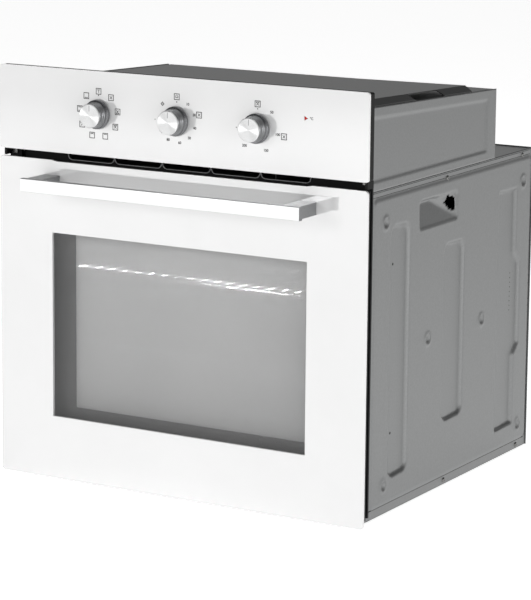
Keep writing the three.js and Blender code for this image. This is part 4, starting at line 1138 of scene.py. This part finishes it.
def wire_rack():
    """Two side bars, three cross bars and the wires that lie on them, all round and smooth."""
    low, high = mm_box("wire_rack")
    bar = BAR_RADIUS
    z = low.z + bar
    side = high.x - bar
    rows = (low.y + bar, (low.y + high.y) / 2, high.y - bar)
    shapes = [tube([(x, rows[0], z), (x, rows[2], z)], bar, 16) for x in (-side, side)]
    shapes += [tube([(-side, y, z), (side, y, z)], bar, 16) for y in rows]
    level = high.z - WIRE_RADIUS
    for i in range(-WIRES_EACH_SIDE, WIRES_EACH_SIDE + 1):
        x = i * WIRE_PITCH
        ends = [(x, low.y + 0.1, level), (x, high.y - 0.1, level)]
        shapes.append(tube(ends, WIRE_RADIUS, 10))
    piece(
        "round_wire_rack",
        merged(shapes),
        "rack",
        [chrome],
        ["wire_rack"],
        smooth=True,
    )


wire_rack()

# ---- gap between door and panel ---------------------------------------------------------------

OUTLETS, OUTLET_PITCH = 5, 79
OUTLET_BOTTOM, OUTLET_TOP = 462.6, 480
OUTLET_CORNER, LIP_CORNER = 8, 7.4
LIP_RADIUS = 0.5
# the air outlet's moulded end: its middle across, in depth and in height, and its three sizes
END_MIDDLE, END_SIZE = (291.5, 14.8, 470.6), (4, 17.6, 10.8)
BRACKET_SHEET = 1.2


def vent_outlines():
    """The pale raised lip round each air outlet."""
    low, high = mm_box("vent_grille")
    y = low.y - 0.4
    half = OUTLET_PITCH / 2
    bend = OUTLET_BOTTOM + OUTLET_CORNER
    shapes = []
    for i in range(OUTLETS):
        x = (i - 2) * OUTLET_PITCH
        first, last = x - half + OUTLET_CORNER, x + half - OUTLET_CORNER
        path = [(x - half, OUTLET_TOP), (x - half + 0.4, bend)]
        path += arc(first, bend, LIP_CORNER, 180, 270, 4)
        path += arc(last, bend, LIP_CORNER, 270, 360, 4)
        path += [(x + half - 0.4, bend), (x + half, OUTLET_TOP)]
        shapes.append(tube([(a, y, b) for a, b in path], LIP_RADIUS, 6))
    piece("vent_outlet_lips", merged(shapes), "casing", [ring_plastic], smooth=True)


def gap_bracket(name, x, z):
    """A small bent steel tab at one end of the gap."""
    bar = [[(x[0], z[0]), (x[1], z[0]), (x[1], z[1]), (x[0], z[1])], 0]
    tab = plate([bar], FRONT + 17, FRONT + 18.2)
    low = z[1] - BRACKET_SHEET
    foot = [[(x[0], low), (x[1], low), (x[1], z[1]), (x[0], z[1])], 0]
    flange = plate([foot], FRONT + 6, FRONT + 16.6)
    soften(piece(name, merged([tab, flange]), "casing", [zinc]), 0.3, 1)


def gap_end(side):
    """The moulded end of the air outlet, which closes the gap at one side."""
    sign = SIGNS[side]
    shape = bmesh.new()
    bmesh.ops.create_cube(shape, size=1)
    for vert in shape.verts:
        x, y, z = (mid + size * v for mid, size, v in zip(END_MIDDLE, END_SIZE, vert.co))
        vert.co = Vector((sign * x, FRONT + y, z)) * MM
    made = piece("air_outlet_end_" + side, shape, "casing", [black_plastic])
    soften(made, 0.6)


gap_end("right")
gap_end("left")
vent_outlines()
gap_bracket("gap_bracket_left", (-287, -279), (466.5, 475.7))
gap_bracket("gap_bracket_right", (280, 290), (469.5, 475.7))

# ---- studio and camera ------------------------------------------------------------------------

WALL_STRENGTH = 0.95
CEILING = 0.08
DARK_SIDE = (0.5, 0.866, 0.0)
DARK_WALL = 0.35
FLOOR_GLOW = 0.8
FLOOR_REACH = 14
FLOOR_DROP = 0.0005
# name, place and aim in metres, width and height in metres, watts, and spread in degrees
LIGHTS = [
    ("key", (-1.8, -3.8, 1.6), (0, 0.05, 0.25), (0.9, 0.9), 23, 180),
    ("side", (3.3, -1.5, 0.7), (0, 0.05, 0.25), (1.4, 1.4), 18, 180),
    ("top", (0, 0.4, 3.4), (0, 0.05, 0.5), (2.4, 2.4), 28, 180),
    ("inside", (0, -0.247, 0.394), (0, -0.246, 0.1), (0.43, 0.008), 0.55, 60),
]
CAMERA_TURN = (30.9853, 10.2451, 0.3797)
CAMERA_PLACE = (1969.1, -3435.5, 1040.1)
# the focal length and the middle of view, in units of which the frame is 531 wide and 600 high
CAMERA_FOCAL = 2733.4
CAMERA_CENTRE = (230, 240)
FRAME_WIDE, FRAME_HIGH = 531, 600
SENSOR = 36


def studio():
    """A plain white floor and room, with three soft lights and a strip light in the cavity."""
    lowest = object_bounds()[0].z
    shape = bmesh.new()
    bmesh.ops.create_grid(shape, x_segments=1, y_segments=1, size=FLOOR_REACH)
    mesh = bpy.data.meshes.new("floor")
    shape.to_mesh(mesh)
    shape.free()
    floor = bpy.data.objects.new("floor", mesh)
    floor.location.z = lowest - FLOOR_DROP
    bpy.context.scene.collection.objects.link(floor)
    # matt white paint, lit a little from within so that it joins the white behind it
    stops = [(0.3, "#fbfbfb"), (0.7, "#fdfdfd")]
    paint = finish("white_studio_floor", stops, 400, (0.9, 1.0), IOR=1.3)
    glow = paint.node_tree.nodes["Principled BSDF"]
    glow.inputs["Emission Color"].default_value = linear("#ffffff")
    glow.inputs["Emission Strength"].default_value = FLOOR_GLOW
    mesh.materials.append(paint)
    floor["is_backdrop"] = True
    world = bpy.data.worlds.new("studio")
    world.use_nodes = True
    bpy.context.scene.world = world
    tree = world.node_tree
    # a pale wall all round, darker overhead and to the rear right, and plain white in view
    place = add(tree, "TexCoord")
    axes = add(tree, "SeparateXYZ", links={"Vector": place.outputs["Generated"]})
    upwards = {"From Min": 0.1, "From Max": 0.5, "To Min": 1.0, "To Max": CEILING}
    ceiling = add(tree, "MapRange", upwards, {"Value": axes.outputs["Z"]})
    facing = {0: place.outputs["Generated"]}
    dark_side = add(tree, "VectorMath", {"operation": "DOT_PRODUCT"}, facing)
    dark_side.inputs[1].default_value = DARK_SIDE
    sideways = {"From Min": 0.45, "From Max": 0.98, "To Min": 1.0, "To Max": DARK_WALL}
    wall = add(tree, "MapRange", sideways, {"Value": dark_side.outputs["Value"]})
    product = {0: ceiling.outputs[0], 1: wall.outputs[0]}
    both = add(tree, "Math", {"operation": "MULTIPLY"}, product)
    scaled = add(tree, "Math", {"operation": "MULTIPLY"}, {0: both.outputs[0]})
    scaled.inputs[1].default_value = WALL_STRENGTH
    rays = add(tree, "LightPath")
    brighter = {0: scaled.outputs[0], 1: rays.outputs["Is Camera Ray"]}
    shown = add(tree, "Math", {"operation": "MAXIMUM"}, brighter)
    background = tree.nodes["Background"]
    background.inputs["Color"].default_value = linear("#ffffff")
    tree.links.new(shown.outputs[0], background.inputs["Strength"])
    for name, place, aim, (wide, high), power, spread in LIGHTS:
        lamp = bpy.data.lights.new(name, "AREA")
        lamp.shape, lamp.size, lamp.size_y, lamp.energy = "RECTANGLE", wide, high, power
        lamp.spread = math.radians(spread)
        holder = bpy.data.objects.new(name, lamp)
        holder.location = place
        holder.rotation_euler = (Vector(aim) - Vector(place)).to_track_quat("-Z", "Y").to_euler()
        bpy.context.scene.collection.objects.link(holder)
    bpy.context.scene.view_settings.view_transform = "Standard"


def camera():
    """At the front right, a little above the top of the oven."""
    data = bpy.data.cameras.new("camera")
    data.sensor_width = SENSOR
    data.lens = CAMERA_FOCAL * SENSOR / FRAME_HIGH
    data.shift_x = (FRAME_WIDE / 2 - CAMERA_CENTRE[0]) / FRAME_HIGH
    data.shift_y = (CAMERA_CENTRE[1] - FRAME_HIGH / 2) / FRAME_HIGH
    holder = bpy.data.objects.new("camera", data)
    azimuth, elevation, roll = (math.radians(v) for v in CAMERA_TURN)
    level = math.cos(elevation)
    back = Vector((math.sin(azimuth) * level, -math.cos(azimuth) * level, math.sin(elevation)))
    turn = (-back).to_track_quat("-Z", "Y").to_matrix().to_4x4() @ Matrix.Rotation(roll, 4, "Z")
    holder.matrix_world = Matrix.Translation(Vector(CAMERA_PLACE) * MM) @ turn
    bpy.context.scene.collection.objects.link(holder)
    bpy.context.scene.camera = holder


studio()
camera()
